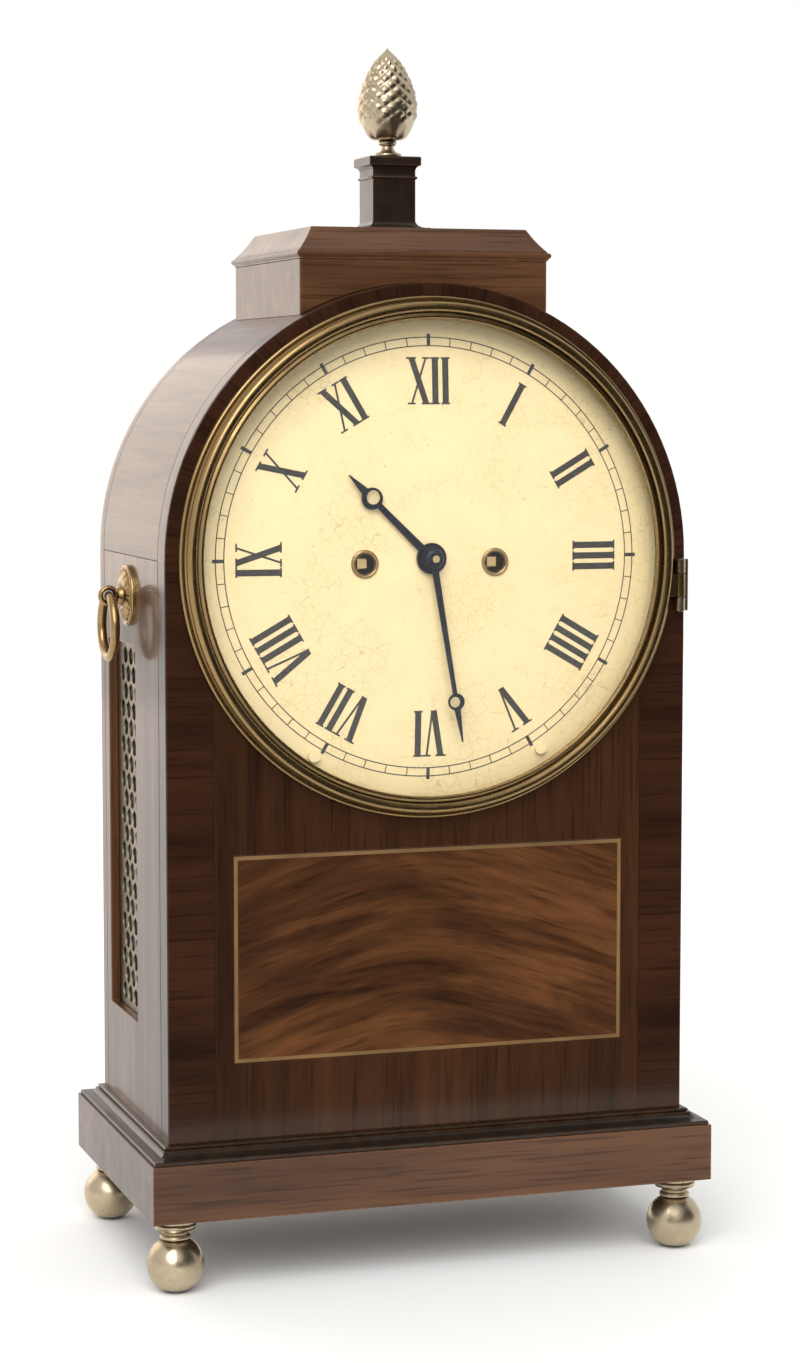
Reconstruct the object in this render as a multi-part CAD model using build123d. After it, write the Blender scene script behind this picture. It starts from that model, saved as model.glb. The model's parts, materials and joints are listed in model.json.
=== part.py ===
from build123d import *
import math
import os

# An arched mahogany bracket clock with an eight-inch dial, in millimetres.
# +X is to the right as the dial is read, -Y is the front and +Z is up.
# The origin is at the centre of the footprint, on the surface that the feet stand on.

# ---------------------------------------------------------------- driving dimensions
# Case
case_width = 228.0
case_depth = 120.0
arch_centre_z = 301.0
front_thickness = 12.0
back_thickness = 8.0
side_thickness = 10.0
roof_thickness = 8.0
bottom_thickness = 8.0
panel_width = 168.0
panel_bottom_z = 95.0
panel_height = 83.0
veneer_thickness = 1.0
stringing_width = 1.6

# Plinth and feet
foot_height = 31.0
foot_ball_radius = 12.0
foot_flat_radius = 4.0
foot_collar_radius = 9.0
foot_stud_radius = 2.5
foot_stud_length = 15.0
plinth_height = 24.0
plinth_wall = 24.0
plinth_overhang_side = 9.5
plinth_overhang_face = 12.5
base_moulding_height = 6.0
base_moulding_step = 1.0

# Pad, pedestal and finial on top of the arch
pad_width = 108.0
pad_setback = 9.0
pad_rise = 9.5
pad_moulding_height = 4.0
pad_moulding_overhang = 1.5
pad_top_height = 9.5
pad_top_slope = 7.0
pedestal_height = 32.0
pedestal_width = 19.0
pedestal_cap_width = 23.0
pedestal_base_width = 30.0
finial_height = 46.5
finial_radius = 11.5

# Pierced side frets
fret_width = 50.0
fret_height = 161.0
fret_bottom_z = 102.0
fret_centre_y = 19.0
fret_lip = 4.0
fret_thickness = 1.2
fret_recess = 4.0
scale_pitch = 10.0
scale_bar = 1.3
silk_thickness = 0.6

# Side handles
handle_drop = 17.0
handle_y = 4.0
handle_boss_radius = 13.0
handle_boss_height = 5.5
handle_reach = 9.0
handle_ring_radius = 13.0
handle_ring_wire = 2.0
handle_eye_radius = 4.5
handle_eye_length = 4.0

# Dial, bezel and glass
dial_radius = 102.5
dial_sag = 4.0
dial_thickness = 1.2
dial_setback = 2.0
dial_foot_radius = 2.5
dial_foot_inset = 7.0
dial_hole_gap = 1.5
bezel_overlap = 6.0
bezel_cover = 3.5
bezel_depth = 8.0
bezel_glass_rebate = 4.5
glass_sag = 7.0
glass_thickness = 2.0
glass_rise = 11.0

# Hands, at the time shown
time_hours = 10
time_minutes = 28.4
hour_hand_length = 50.0
minute_hand_length = 78.0
hand_thickness = 0.8

# Movement plates
plate_width = 130.0
plate_above_centre = 61.0
plate_below_centre = 109.0
plate_thickness = 2.5
plate_setback = 22.0
plate_gap = 48.0
seat_thickness = 8.0

# Winding arbors, fusees and barrels
winding_x = 28.5
winding_drop = 2.0
barrel_outset = 4.5
barrel_radius = 25.0
fusee_large_radius = 20.0
fusee_small_radius = 9.0
fusee_turns = 9
gut_radius = 0.8

# Back door
door_half_width = 90.0
door_bottom_z = 90.0
door_rail = 19.0
door_gap = 0.7
door_glass_thickness = 2.0
door_glass_lip = 4.0

# Pendulum
pendulum_setback = 12.0
pendulum_length = 224.0
bob_radius = 30.0
bob_thickness = 14.0
pendulum_rod_radius = 1.5

# Bell
bell_radius = 38.0
bell_height = 27.0
bell_wall = 2.0
bell_offset = 3.5

# Clearances
running_fit = 0.05
close_fit = 0.02
end_play = 0.4
hand_gap = 1.0

# ---------------------------------------------------------------- derived places
half_width = case_width / 2
front_y = -case_depth / 2
back_y = case_depth / 2
front_inner_y = front_y + front_thickness
back_inner_y = back_y - back_thickness
inner_half_width = half_width - side_thickness
plinth_top_z = foot_height + plinth_height
plinth_half_width = half_width + plinth_overhang_side
plinth_half_depth = case_depth / 2 + plinth_overhang_face
arch_top_z = arch_centre_z + half_width
pad_depth = case_depth - 2 * pad_setback
pad_block_top_z = arch_top_z + pad_rise
pad_moulding_top_z = pad_block_top_z + pad_moulding_height
pad_top_z = pad_moulding_top_z + pad_top_height
pedestal_top_z = pad_top_z + pedestal_height
foot_x = plinth_half_width - foot_ball_radius
foot_y = plinth_half_depth - foot_ball_radius
dial_opening_radius = dial_radius + dial_hole_gap
dial_apex_y = front_y + dial_setback
bezel_outer_radius = dial_radius + bezel_overlap
bezel_sight_radius = dial_radius - bezel_cover
glass_radius = bezel_sight_radius + 2.5
glass_apex_y = front_y - glass_rise
handle_z = arch_centre_z - handle_drop
plate_top_z = arch_centre_z + plate_above_centre
plate_bottom_z = arch_centre_z - plate_below_centre
winding_z = arch_centre_z - winding_drop
front_plate_y = front_y + plate_setback
plate_back_of_front = front_plate_y + plate_thickness
back_plate_y = plate_back_of_front + plate_gap
back_plate_rear = back_plate_y + plate_thickness
seat_bottom_z = plate_bottom_z - seat_thickness
mid_plates_y = (plate_back_of_front + back_plate_y) / 2
bell_y = mid_plates_y + bell_offset
pendulum_y = back_plate_rear + pendulum_setback

# ---------------------------------------------------------------- helpers
def box(x0, x1, y0, y1, z0, z1):
    """A block between two opposite corners."""
    middle = Pos((x0 + x1) / 2, (y0 + y1) / 2, (z0 + z1) / 2)
    return middle * Box(x1 - x0, y1 - y0, z1 - z0)


def rod_x(y, z, radius, x0, x1):
    """A round bar along X."""
    return Pos((x0 + x1) / 2, y, z) * Rot(0, 90, 0) * Cylinder(radius, x1 - x0)


def rod_y(x, z, radius, y0, y1):
    """A round bar along Y."""
    return Pos(x, (y0 + y1) / 2, z) * Rot(90, 0, 0) * Cylinder(radius, y1 - y0)


def rod_z(x, y, radius, z0, z1):
    """A round bar along Z."""
    return Pos(x, y, (z0 + z1) / 2) * Cylinder(radius, z1 - z0)


def slab_y(face, y0, y1):
    """A face drawn as (X, Z) and given thickness from y0 to y1."""
    front_view = Plane(origin=(0, y1, 0), x_dir=(1, 0, 0), z_dir=(0, -1, 0))
    return extrude(front_view * face, y1 - y0)


def polygon(points):
    """A face from a list of corners."""
    return make_face(Polyline(*points, close=True))


def turned_y(x, z, points):
    """A solid turned about the Y axis through (x, z) from (radius, y) corners."""
    return Pos(x, 0, z) * revolve(polygon(points), Axis.Y)


def turned_z(x, y, points):
    """A solid turned about the Z axis through (x, y) from (radius, z) corners."""
    return Pos(x, y, 0) * revolve(Plane.XZ * polygon(points), Axis.Z)


def dome_y(radius, sag, thickness, apex_y):
    """A shallow dished disc about the dial axis, its hollow side facing back."""
    ball = (radius ** 2 + sag ** 2) / (2 * sag)

    def depth(r):
        return apex_y + ball - math.sqrt(ball ** 2 - r ** 2)

    half = radius / 2
    edge = depth(radius)
    front = ThreePointArc((0, apex_y), (half, depth(half)), (radius, edge))
    rear = ThreePointArc(
        (radius, edge + thickness), (half, depth(half) + thickness), (0, apex_y + thickness)
    )
    rim = Line((radius, edge), (radius, edge + thickness))
    axis = Line((0, apex_y + thickness), (0, apex_y))
    profile = make_face(Curve() + [front, rim, rear, axis])
    return Pos(0, 0, arch_centre_z) * revolve(profile, Axis.Y)


def arched_face(half, bottom_z):
    """An arch-headed outline, its head concentric with the dial."""
    body_height = arch_centre_z - bottom_z
    body = Pos(0, bottom_z + body_height / 2) * Rectangle(2 * half, body_height)
    return body + Pos(0, arch_centre_z) * Circle(half)


def gear_face(x, z, teeth, module, tooth_angle, tooth_share, addendum, dedendum):
    """A toothed outline with one tooth centred at tooth_angle, in degrees from +X to +Z."""
    pitch_radius = teeth * module / 2
    tip_radius = pitch_radius + addendum * module
    root_radius = pitch_radius - dedendum * module
    pitch_angle = 2 * math.pi / teeth
    root_half = tooth_share * pitch_angle * 0.62
    tip_half = tooth_share * pitch_angle * 0.22
    points = []
    for index in range(teeth):
        middle = math.radians(tooth_angle) + index * pitch_angle
        corners = [
            (root_radius, -root_half),
            (tip_radius, -tip_half),
            (tip_radius, tip_half),
            (root_radius, root_half),
        ]
        for radius, turn in corners:
            angle = middle + turn
            points.append((x + radius * math.cos(angle), z + radius * math.sin(angle)))
    return polygon(points)


def crossings(x, z, rim_radius, hub_radius, arms, arm_width):
    """The windows between the arms of a wheel."""
    window = Circle(rim_radius) - Circle(hub_radius)
    for index in range(arms):
        arm = Pos(rim_radius / 2, 0) * Rectangle(rim_radius * 1.2, arm_width)
        window -= Rot(0, 0, 360 / arms * index) * arm
    return Pos(x, z) * window


def wheel(x, z, teeth, module, tooth_angle, y0, y1):
    """A crossed-out brass wheel."""
    rim = teeth * module / 2 - 1.3 * module - 1.6
    face = gear_face(x, z, teeth, module, tooth_angle, 0.42, 0.75, 1.3)
    face -= crossings(x, z, rim, 3.4, 5, 1.8)
    return slab_y(face, y0, y1)


def pinion(x, z, leaves, module, tooth_angle, y0, y1):
    """A small steel pinion."""
    return slab_y(gear_face(x, z, leaves, module, tooth_angle, 0.36, 0.6, 1.15), y0, y1)


def mesh_angle(here, there):
    """The direction from one arbor to another, in degrees from +X to +Z."""
    return math.degrees(math.atan2(there[1] - here[1], there[0] - here[0]))


def facing_gap(here, there, teeth):
    """The tooth angle that puts a gap of the gear at there opposite a tooth of the one at here."""
    return mesh_angle(there, here) + 180 / teeth


def save(node, shape):
    """Write one node of the clock."""
    shape.label = node
    export_step(shape, "parts/" + node + ".step")


def save_group(node, solids):
    """Write several separate solids as one node."""
    save(node, Compound(children=list(solids)))


os.makedirs("parts", exist_ok=True)

# ---------------------------------------------------------------- feet and plinth
ball_centre_z = math.sqrt(foot_ball_radius ** 2 - foot_flat_radius ** 2)
foot_neck_radius = foot_collar_radius * 0.6
neck_z = ball_centre_z + math.sqrt(foot_ball_radius ** 2 - foot_neck_radius ** 2)
collar_z = foot_height - 5.0


def ball_foot(x, y):
    """A turned brass ball foot with a collar and a screwed stud."""
    ball = Pos(x, y, ball_centre_z) * Sphere(foot_ball_radius)
    below = rod_z(x, y, foot_ball_radius, -foot_ball_radius, 0)
    collar = turned_z(x, y, [
        (0, neck_z - 1.0),
        (foot_neck_radius, neck_z - 1.0),
        (foot_neck_radius, collar_z),
        (foot_collar_radius - 1.0, collar_z),
        (foot_collar_radius, collar_z + 1.0),
        (foot_collar_radius, foot_height),
        (0, foot_height),
    ])
    stud = rod_z(x, y, foot_stud_radius, foot_height - 1.0, foot_height + foot_stud_length)
    return ball - below + collar + stud


foot_places = [(sx * foot_x, sy * foot_y) for sy in (-1, 1) for sx in (-1, 1)]
save_group("ball_feet", [ball_foot(x, y) for x, y in foot_places])

plinth_well_x = plinth_half_width - plinth_wall
plinth_well_y = plinth_half_depth - plinth_wall
plinth = box(-plinth_half_width, plinth_half_width, -plinth_half_depth, plinth_half_depth,
             foot_height, plinth_top_z)
plinth -= box(-plinth_well_x, plinth_well_x, -plinth_well_y, plinth_well_y,
              foot_height, plinth_top_z)
for x, y in foot_places:
    plinth -= rod_z(x, y, foot_stud_radius + close_fit, foot_height,
                    foot_height + foot_stud_length + 1.0)
save("plinth", plinth)

moulding_foot_x = plinth_half_width - base_moulding_step
moulding_foot_y = plinth_half_depth - base_moulding_step
moulding_head_x = half_width + base_moulding_step
moulding_head_y = case_depth / 2 + base_moulding_step
moulding_top_z = plinth_top_z + base_moulding_height
lower_outline = Pos(0, 0, plinth_top_z + base_moulding_height * 0.35) * Rectangle(
    2 * moulding_foot_x, 2 * moulding_foot_y)
upper_outline = Pos(0, 0, moulding_top_z) * Rectangle(2 * moulding_head_x, 2 * moulding_head_y)
base_moulding = loft([lower_outline.face(), upper_outline.face()])
base_moulding += box(-moulding_foot_x, moulding_foot_x, -moulding_foot_y, moulding_foot_y,
                     plinth_top_z, plinth_top_z + base_moulding_height * 0.35)
base_moulding -= box(-half_width, half_width, front_y, back_y, plinth_top_z, moulding_top_z)
save("base_moulding", base_moulding)

# ---------------------------------------------------------------- case boards
save("bottom_board", box(-inner_half_width, inner_half_width, front_inner_y, back_inner_y,
                         plinth_top_z, plinth_top_z + bottom_thickness))

seat_front_y = front_plate_y - 2.0
seat_rear_y = back_plate_rear
ledge_depth = 8.0
ledge_height = 12.0
fret_y0 = fret_centre_y - fret_width / 2
fret_y1 = fret_centre_y + fret_width / 2
fret_top_z = fret_bottom_z + fret_height
handle_hole_radius = 2.0


def side_board(side):
    """A side of the case, with a ledge for the movement and a rebated opening for the fret."""
    inner = side * inner_half_width
    outer = side * half_width
    board = box(min(inner, outer), max(inner, outer), front_inner_y, back_inner_y,
                plinth_top_z, arch_centre_z)
    ledge = side * (inner_half_width - ledge_depth)
    board += box(min(ledge, inner), max(ledge, inner), seat_front_y, seat_rear_y,
                 seat_bottom_z - ledge_height, seat_bottom_z)
    rebate = side * (half_width - fret_recess)
    lower = side * (inner_half_width - ledge_depth)
    board -= box(min(inner, outer), max(inner, outer), fret_y0, fret_y1,
                 fret_bottom_z, fret_top_z)
    board -= box(min(lower, rebate), max(lower, rebate), fret_y0 - fret_lip, fret_y1 + fret_lip,
                 fret_bottom_z - fret_lip, fret_top_z + fret_lip)
    board -= rod_x(handle_y, handle_z, handle_hole_radius + close_fit,
                   min(inner, outer), max(inner, outer))
    return board


save("side_left", side_board(-1))
save("side_right", side_board(1))

roof_face = Pos(0, arch_centre_z) * (Circle(half_width) - Circle(half_width - roof_thickness))
roof_face -= Pos(0, arch_centre_z - half_width) * Rectangle(2 * case_width, 2 * half_width)
save("arch_roof", slab_y(roof_face, front_inner_y, back_inner_y))

panel_top_z = panel_bottom_z + panel_height
panel_half = panel_width / 2
string_half = panel_half + stringing_width
front_face = arched_face(half_width, plinth_top_z)
front_face -= Pos(0, arch_centre_z) * Circle(dial_opening_radius)
case_front = slab_y(front_face, front_y, front_inner_y)
case_front -= box(-string_half, string_half, front_y, front_y + veneer_thickness,
                  panel_bottom_z - stringing_width, panel_top_z + stringing_width)
save("case_front", case_front)

front_panel = box(-panel_half, panel_half, front_y, front_y + veneer_thickness,
                  panel_bottom_z, panel_top_z)
save("front_panel", front_panel)
stringing = box(-string_half, string_half, front_y, front_y + veneer_thickness,
                panel_bottom_z - stringing_width, panel_top_z + stringing_width)
save("front_stringing", stringing - front_panel)

back_face = arched_face(half_width, plinth_top_z) - arched_face(door_half_width, door_bottom_z)
save("case_back", slab_y(back_face, back_inner_y, back_y))

# ---------------------------------------------------------------- pad, pedestal and finial
pad_half = pad_width / 2
pad_face = Pos(0, pad_block_top_z / 2) * Rectangle(pad_width, pad_block_top_z)
pad_face -= Pos(0, arch_centre_z) * Circle(half_width)
pad_face -= Pos(0, arch_centre_z / 2) * Rectangle(case_width, arch_centre_z)
save("pad_block", slab_y(pad_face, -pad_depth / 2, pad_depth / 2))

cornice_half_x = pad_half + pad_moulding_overhang
cornice_half_y = pad_depth / 2 + pad_moulding_overhang
slope_foot = Pos(0, 0, pad_moulding_top_z) * Rectangle(pad_width, pad_depth)
slope_head = Pos(0, 0, pad_top_z) * Rectangle(pad_width - 2 * pad_top_slope,
                                              pad_depth - 2 * pad_top_slope)
cornice_band = box(-cornice_half_x, cornice_half_x, -cornice_half_y, cornice_half_y,
                   pad_block_top_z, pad_moulding_top_z)
cornice_edges = cornice_band.edges().filter_by(Axis.Z, reverse=True)
cornice_band = fillet(cornice_edges, pad_moulding_height * 0.3)
pad_top = cornice_band + loft([slope_foot.face(), slope_head.face()])
save("pad_top", pad_top)

pedestal_base_height = 5.0
pedestal_cap_height = 6.0
finial_stud_radius = 2.0
finial_stud_length = 14.0


def square_step(width_below, width_above, z0, z1):
    """One square stage of the pedestal, tapering from z0 to z1."""
    below = Pos(0, 0, z0) * Rectangle(width_below, width_below)
    above = Pos(0, 0, z1) * Rectangle(width_above, width_above)
    return loft([below.face(), above.face()])


shaft_foot_z = pad_top_z + pedestal_base_height
shaft_head_z = pedestal_top_z - pedestal_cap_height
pedestal = square_step(pedestal_base_width, pedestal_width, pad_top_z, shaft_foot_z)
pedestal += square_step(pedestal_width, pedestal_width, shaft_foot_z, shaft_head_z)
pedestal += square_step(pedestal_width, pedestal_cap_width, shaft_head_z, shaft_head_z + 2.0)
pedestal += square_step(pedestal_cap_width, pedestal_cap_width, shaft_head_z + 2.0,
                        pedestal_top_z)
pedestal -= rod_z(0, 0, finial_stud_radius + close_fit,
                  pedestal_top_z - finial_stud_length - 1.0, pedestal_top_z)
save("pedestal", pedestal)

finial_points = [(0, 0), (0.52, 0), (0.52, 0.04), (0.26, 0.09), (0.2, 0.15), (0.32, 0.19)]
fruit_foot = 0.19
fruit_steps = 14
for step in range(1, fruit_steps + 1):
    share = step / fruit_steps
    swell = math.sin(math.pi * share ** 0.75) ** 0.8
    radius_share = 0.32 * (1 - share) + 0.84 * swell
    finial_points.append((max(radius_share, 0.02), fruit_foot + (0.97 - fruit_foot) * share))
finial_points.append((0, 1.0))
finial = turned_z(0, 0, [(r * finial_radius, pedestal_top_z + h * finial_height)
                         for r, h in finial_points])
finial += rod_z(0, 0, finial_stud_radius, pedestal_top_z - finial_stud_length,
                pedestal_top_z + 1.0)
save("finial", finial)

# ---------------------------------------------------------------- side frets and silks
def fish_scale(y, z):
    """One opening of the fret: round below, and pointed between the scales above."""
    radius = (scale_pitch - scale_bar) / 2
    shoulder = radius * 0.35
    left = (y - radius, z + shoulder)
    right = (y + radius, z + shoulder)
    point = (y, z + radius * 0.95)
    bottom = ThreePointArc(left, (y, z - radius * 0.85), right)
    right_side = Line(right, point)
    left_side = Line(point, left)
    return make_face(Curve() + [bottom, right_side, left_side])


def fret_face():
    """The pierced sheet, drawn as (Y, Z)."""
    sheet = Pos(fret_centre_y, fret_bottom_z + fret_height / 2) * Rectangle(
        fret_width + 2 * (fret_lip - close_fit), fret_height + 2 * (fret_lip - close_fit))
    row_height = scale_pitch * 0.78
    rows = int((fret_height - scale_bar) / row_height)
    columns = int((fret_width - scale_bar) / scale_pitch)
    first_z = fret_bottom_z + (fret_height - rows * row_height) / 2 + row_height / 2
    openings = []
    for row in range(rows):
        odd = row % 2
        for column in range(columns - odd):
            offset = column - (columns - odd - 1) / 2
            openings.append(fish_scale(fret_centre_y + offset * scale_pitch,
                                       first_z + row * row_height))
    return sheet - openings


def slab_x(face, x0, x1):
    """A face drawn as (Y, Z) and given thickness from x0 to x1."""
    side_view = Plane(origin=(x0, 0, 0), x_dir=(0, 1, 0), z_dir=(1, 0, 0))
    return extrude(side_view * face, x1 - x0)


fret_outer = half_width - fret_recess
fret_inner = fret_outer - fret_thickness
pierced = fret_face()
save("fret_left", slab_x(pierced, -fret_outer, -fret_inner))
save("fret_right", slab_x(pierced, fret_inner, fret_outer))

silk_y0 = fret_y0 - fret_lip + close_fit
silk_y1 = fret_y1 + fret_lip - close_fit
silk_z0 = fret_bottom_z - fret_lip + close_fit
silk_z1 = fret_top_z + fret_lip - close_fit
silk_inner = fret_inner - silk_thickness
silks = [
    box(-fret_inner, -silk_inner, silk_y0, silk_y1, silk_z0, silk_z1),
    box(silk_inner, fret_inner, silk_y0, silk_y1, silk_z0, silk_z1),
]
save_group("fret_silks", silks)

# ---------------------------------------------------------------- side handles
def handle_boss(side):
    """A round brass boss with an eye for the ring and a shank through the side."""
    face_x = half_width
    dome = [
        (0, 0),
        (handle_boss_radius, 0),
        (handle_boss_radius, 1.6),
        (handle_boss_radius * 0.8, 2.6),
        (handle_boss_radius * 0.74, 4.0),
        (handle_boss_radius * 0.3, handle_boss_height),
        (0, handle_boss_height),
    ]
    turned = revolve(Plane.XZ * polygon(dome), Axis.Z)
    boss = Pos(side * face_x, handle_y, handle_z) * Rot(0, 90 * side, 0) * turned
    half_eye = handle_eye_length / 2
    eye_x = side * (face_x + handle_reach)
    neck = [side * (face_x + 1.0), eye_x]
    boss += box(min(neck), max(neck), handle_y - half_eye, handle_y + half_eye,
                handle_z - handle_eye_radius * 0.7, handle_z + handle_eye_radius * 0.7)
    boss += rod_y(eye_x, handle_z, handle_eye_radius, handle_y - half_eye, handle_y + half_eye)
    boss -= rod_y(eye_x, handle_z, handle_ring_wire + 0.3, handle_y - handle_eye_length,
                  handle_y + handle_eye_length)
    shank = [side * (inner_half_width - 1.0), side * (face_x + 1.0)]
    boss += rod_x(handle_y, handle_z, handle_hole_radius, min(shank), max(shank))
    return boss


def handle_ring(side):
    """A brass ring that hangs from the eye of its boss."""
    ring = Rot(0, 90, 0) * Torus(handle_ring_radius, handle_ring_wire)
    return Pos(side * (half_width + handle_reach), handle_y, handle_z - handle_ring_radius) * ring


for side, name in ((-1, "left"), (1, "right")):
    save("handle_boss_" + name, handle_boss(side))
    save("handle_ring_" + name, handle_ring(side))

# ---------------------------------------------------------------- bezel, glass and hinge
hinge_x = half_width - 3.0
hinge_y = front_y - 2.5
hinge_z = arch_centre_z - 13.0
hinge_pin_radius = 1.0
hinge_knuckle_radius = 2.2
bezel_knuckle_half = 5.0
hinge_half = 11.0
hinge_leaf = 1.2
knuckle_gap = 0.3

bezel_front_y = front_y - bezel_depth
rebate_y = front_y - bezel_glass_rebate
bezel = turned_y(0, arch_centre_z, [
    (bezel_outer_radius, front_y),
    (bezel_outer_radius, front_y - 2.0),
    (bezel_outer_radius - 1.2, front_y - 3.0),
    (bezel_outer_radius - 2.0, front_y - 6.0),
    (bezel_outer_radius - 4.0, bezel_front_y),
    (bezel_sight_radius + 2.0, bezel_front_y),
    (bezel_sight_radius, bezel_front_y + 2.0),
    (bezel_sight_radius, rebate_y),
    (glass_radius + 0.3, rebate_y),
    (glass_radius + 0.3, front_y),
])
lug_root_x = bezel_outer_radius - 4.0
bezel += box(lug_root_x, hinge_x, hinge_y - 1.2, hinge_y + 1.2,
             hinge_z - bezel_knuckle_half, hinge_z + bezel_knuckle_half)
bezel += rod_z(hinge_x, hinge_y, hinge_knuckle_radius,
               hinge_z - bezel_knuckle_half, hinge_z + bezel_knuckle_half)
bezel -= rod_z(hinge_x, hinge_y, hinge_pin_radius + running_fit,
               hinge_z - bezel_knuckle_half, hinge_z + bezel_knuckle_half)
save("bezel", bezel)
save("dial_glass", dome_y(glass_radius, glass_sag, glass_thickness, glass_apex_y))

bracket = box(hinge_x - 0.6, half_width + hinge_leaf, front_y - hinge_leaf, front_y,
              hinge_z - hinge_half, hinge_z + hinge_half)
bracket += box(half_width, half_width + hinge_leaf, front_y - hinge_leaf, front_inner_y,
               hinge_z - hinge_half, hinge_z + hinge_half)
for sign in (-1, 1):
    inner_z = hinge_z + sign * (bezel_knuckle_half + knuckle_gap)
    outer_z = hinge_z + sign * hinge_half
    bracket += rod_z(hinge_x, hinge_y, hinge_knuckle_radius,
                     min(inner_z, outer_z), max(inner_z, outer_z))
bracket -= rod_z(hinge_x, hinge_y, hinge_knuckle_radius + 0.25,
                 hinge_z - bezel_knuckle_half - knuckle_gap,
                 hinge_z + bezel_knuckle_half + knuckle_gap)
bracket -= rod_z(hinge_x, hinge_y, hinge_pin_radius + close_fit,
                 hinge_z - hinge_half, hinge_z + hinge_half)
save("bezel_hinge", bracket)

# ---------------------------------------------------------------- back door
door_face = arched_face(door_half_width - door_gap, door_bottom_z + door_gap)
sight_half = door_half_width - door_rail
door_face -= arched_face(sight_half, door_bottom_z + door_rail)
back_door = slab_y(door_face, back_inner_y, back_y)
glass_rebate_y = back_inner_y + 3.0
glass_half = sight_half + door_glass_lip
back_door -= slab_y(arched_face(glass_half + 0.2, door_bottom_z + door_rail - door_glass_lip - 0.2),
                    back_inner_y, glass_rebate_y)
latch_x = -(door_half_width - door_rail / 2)
latch_z = arch_centre_z - 51.0
latch_shaft_radius = 2.0
back_door -= rod_y(latch_x, latch_z, latch_shaft_radius + running_fit, back_inner_y, back_y)
save("back_door", back_door)
save("back_glass", slab_y(arched_face(glass_half, door_bottom_z + door_rail - door_glass_lip),
                          glass_rebate_y - door_glass_thickness, glass_rebate_y))

door_pin_x = door_half_width
door_pin_y = back_y + 2.4
door_hinge_heights = (door_bottom_z + 45.0, arch_centre_z - 46.0)
door_hinge_half = 12.0
door_knuckle_half = 4.0
leaf_width = 14.0


def butt_hinge(z, side, spans):
    """One half of a butt hinge: its leaf goes towards side, and its knuckles fill the spans."""
    edge_x = door_pin_x + side * leaf_width
    leaf = box(min(door_pin_x, edge_x), max(door_pin_x, edge_x), back_y, back_y + hinge_leaf,
               z - door_hinge_half, z + door_hinge_half)
    for low, high in ((-door_hinge_half, -door_knuckle_half), (-door_knuckle_half, door_knuckle_half),
                      (door_knuckle_half, door_hinge_half)):
        if (low, high) not in spans:
            leaf -= rod_z(door_pin_x, door_pin_y, hinge_knuckle_radius + 0.25,
                          z + low - knuckle_gap, z + high + knuckle_gap)
            leaf -= box(door_pin_x - 3.0, door_pin_x + 3.0, back_y, door_pin_y,
                        z + low - knuckle_gap, z + high + knuckle_gap)
    for low, high in spans:
        bottom = low if low == -door_hinge_half else low + knuckle_gap
        top = high if high == door_hinge_half else high - knuckle_gap
        leaf += rod_z(door_pin_x, door_pin_y, hinge_knuckle_radius, z + bottom, z + top)
    return leaf


outer_spans = ((-door_hinge_half, -door_knuckle_half), (door_knuckle_half, door_hinge_half))
middle_span = ((-door_knuckle_half, door_knuckle_half),)
case_leaves = []
door_leaves = []
hinge_pins = [rod_z(hinge_x, hinge_y, hinge_pin_radius, hinge_z - hinge_half - 0.5,
                    hinge_z + hinge_half + 0.5)]
for z in door_hinge_heights:
    bore = rod_z(door_pin_x, door_pin_y, hinge_pin_radius + close_fit,
                 z - door_hinge_half, z + door_hinge_half)
    free_bore = rod_z(door_pin_x, door_pin_y, hinge_pin_radius + running_fit,
                      z - door_hinge_half, z + door_hinge_half)
    case_leaves.append(butt_hinge(z, 1, outer_spans) - bore)
    door_leaves.append(butt_hinge(z, -1, middle_span) - free_bore)
    hinge_pins.append(rod_z(door_pin_x, door_pin_y, hinge_pin_radius,
                            z - door_hinge_half - 0.5, z + door_hinge_half + 0.5))
save_group("back_hinges", case_leaves)
save_group("door_leaves", door_leaves)
save_group("hinge_pins", hinge_pins)

latch = rod_y(latch_x, latch_z, latch_shaft_radius, back_inner_y - 3.0, back_y + 2.0)
latch += turned_y(latch_x, latch_z, [
    (0, back_y + 0.3),
    (5.5, back_y + 0.3),
    (5.5, back_y + 1.3),
    (2.6, back_y + 2.5),
    (2.6, back_y + 4.0),
    (6.0, back_y + 6.0),
    (6.0, back_y + 8.0),
    (4.0, back_y + 10.0),
    (0, back_y + 10.5),
])
latch += box(latch_x - 4.0, latch_x + 4.0, back_inner_y - 2.6, back_inner_y - 0.6,
             latch_z - 4.0, latch_z + 20.0)
save("back_latch", latch)

# ---------------------------------------------------------------- train geometry
def arbor_above(place, distance, angle):
    """A place at a distance and an angle, in degrees from +X to +Z, from another."""
    turn = math.radians(angle)
    return (place[0] + distance * math.cos(turn), place[1] + distance * math.sin(turn))


great_teeth = 96
centre_leaves = 8
centre_teeth = 84
third_leaves = 7
third_teeth = 78
escape_leaves = 7
escape_teeth = 30
strike_teeth = 84
pin_leaves = 8
pin_teeth = 64
cannon_teeth = 20
minute_teeth = 60
minute_leaves = 15
hour_teeth = 60

centre = (0.0, arch_centre_z)
going_winding = (winding_x, winding_z)
strike_winding = (-winding_x, winding_z)
great_module = 2 * math.dist(centre, going_winding) / (great_teeth + centre_leaves)
centre_module = 0.42
third_module = 0.38
third = arbor_above(centre, centre_module * (centre_teeth + third_leaves) / 2, 90)
escape = arbor_above(third, third_module * (third_teeth + escape_leaves) / 2, 90)
escape_radius = 13.0
pallet_height = 17.5
pallet = (0.0, escape[1] + pallet_height)
pin_arbor = arbor_above(strike_winding, great_module * (strike_teeth + pin_leaves) / 2, 120)
minute_distance = 19.5
minute_post = arbor_above(centre, minute_distance, -90)
cannon_module = 2 * minute_distance / (cannon_teeth + minute_teeth)
hour_module = 2 * minute_distance / (hour_teeth + minute_leaves)
great_tip_radius = (great_teeth / 2 + 0.75) * great_module
barrel_gap = 4.2
barrel_z = winding_z - great_tip_radius - barrel_radius - barrel_gap
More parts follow.
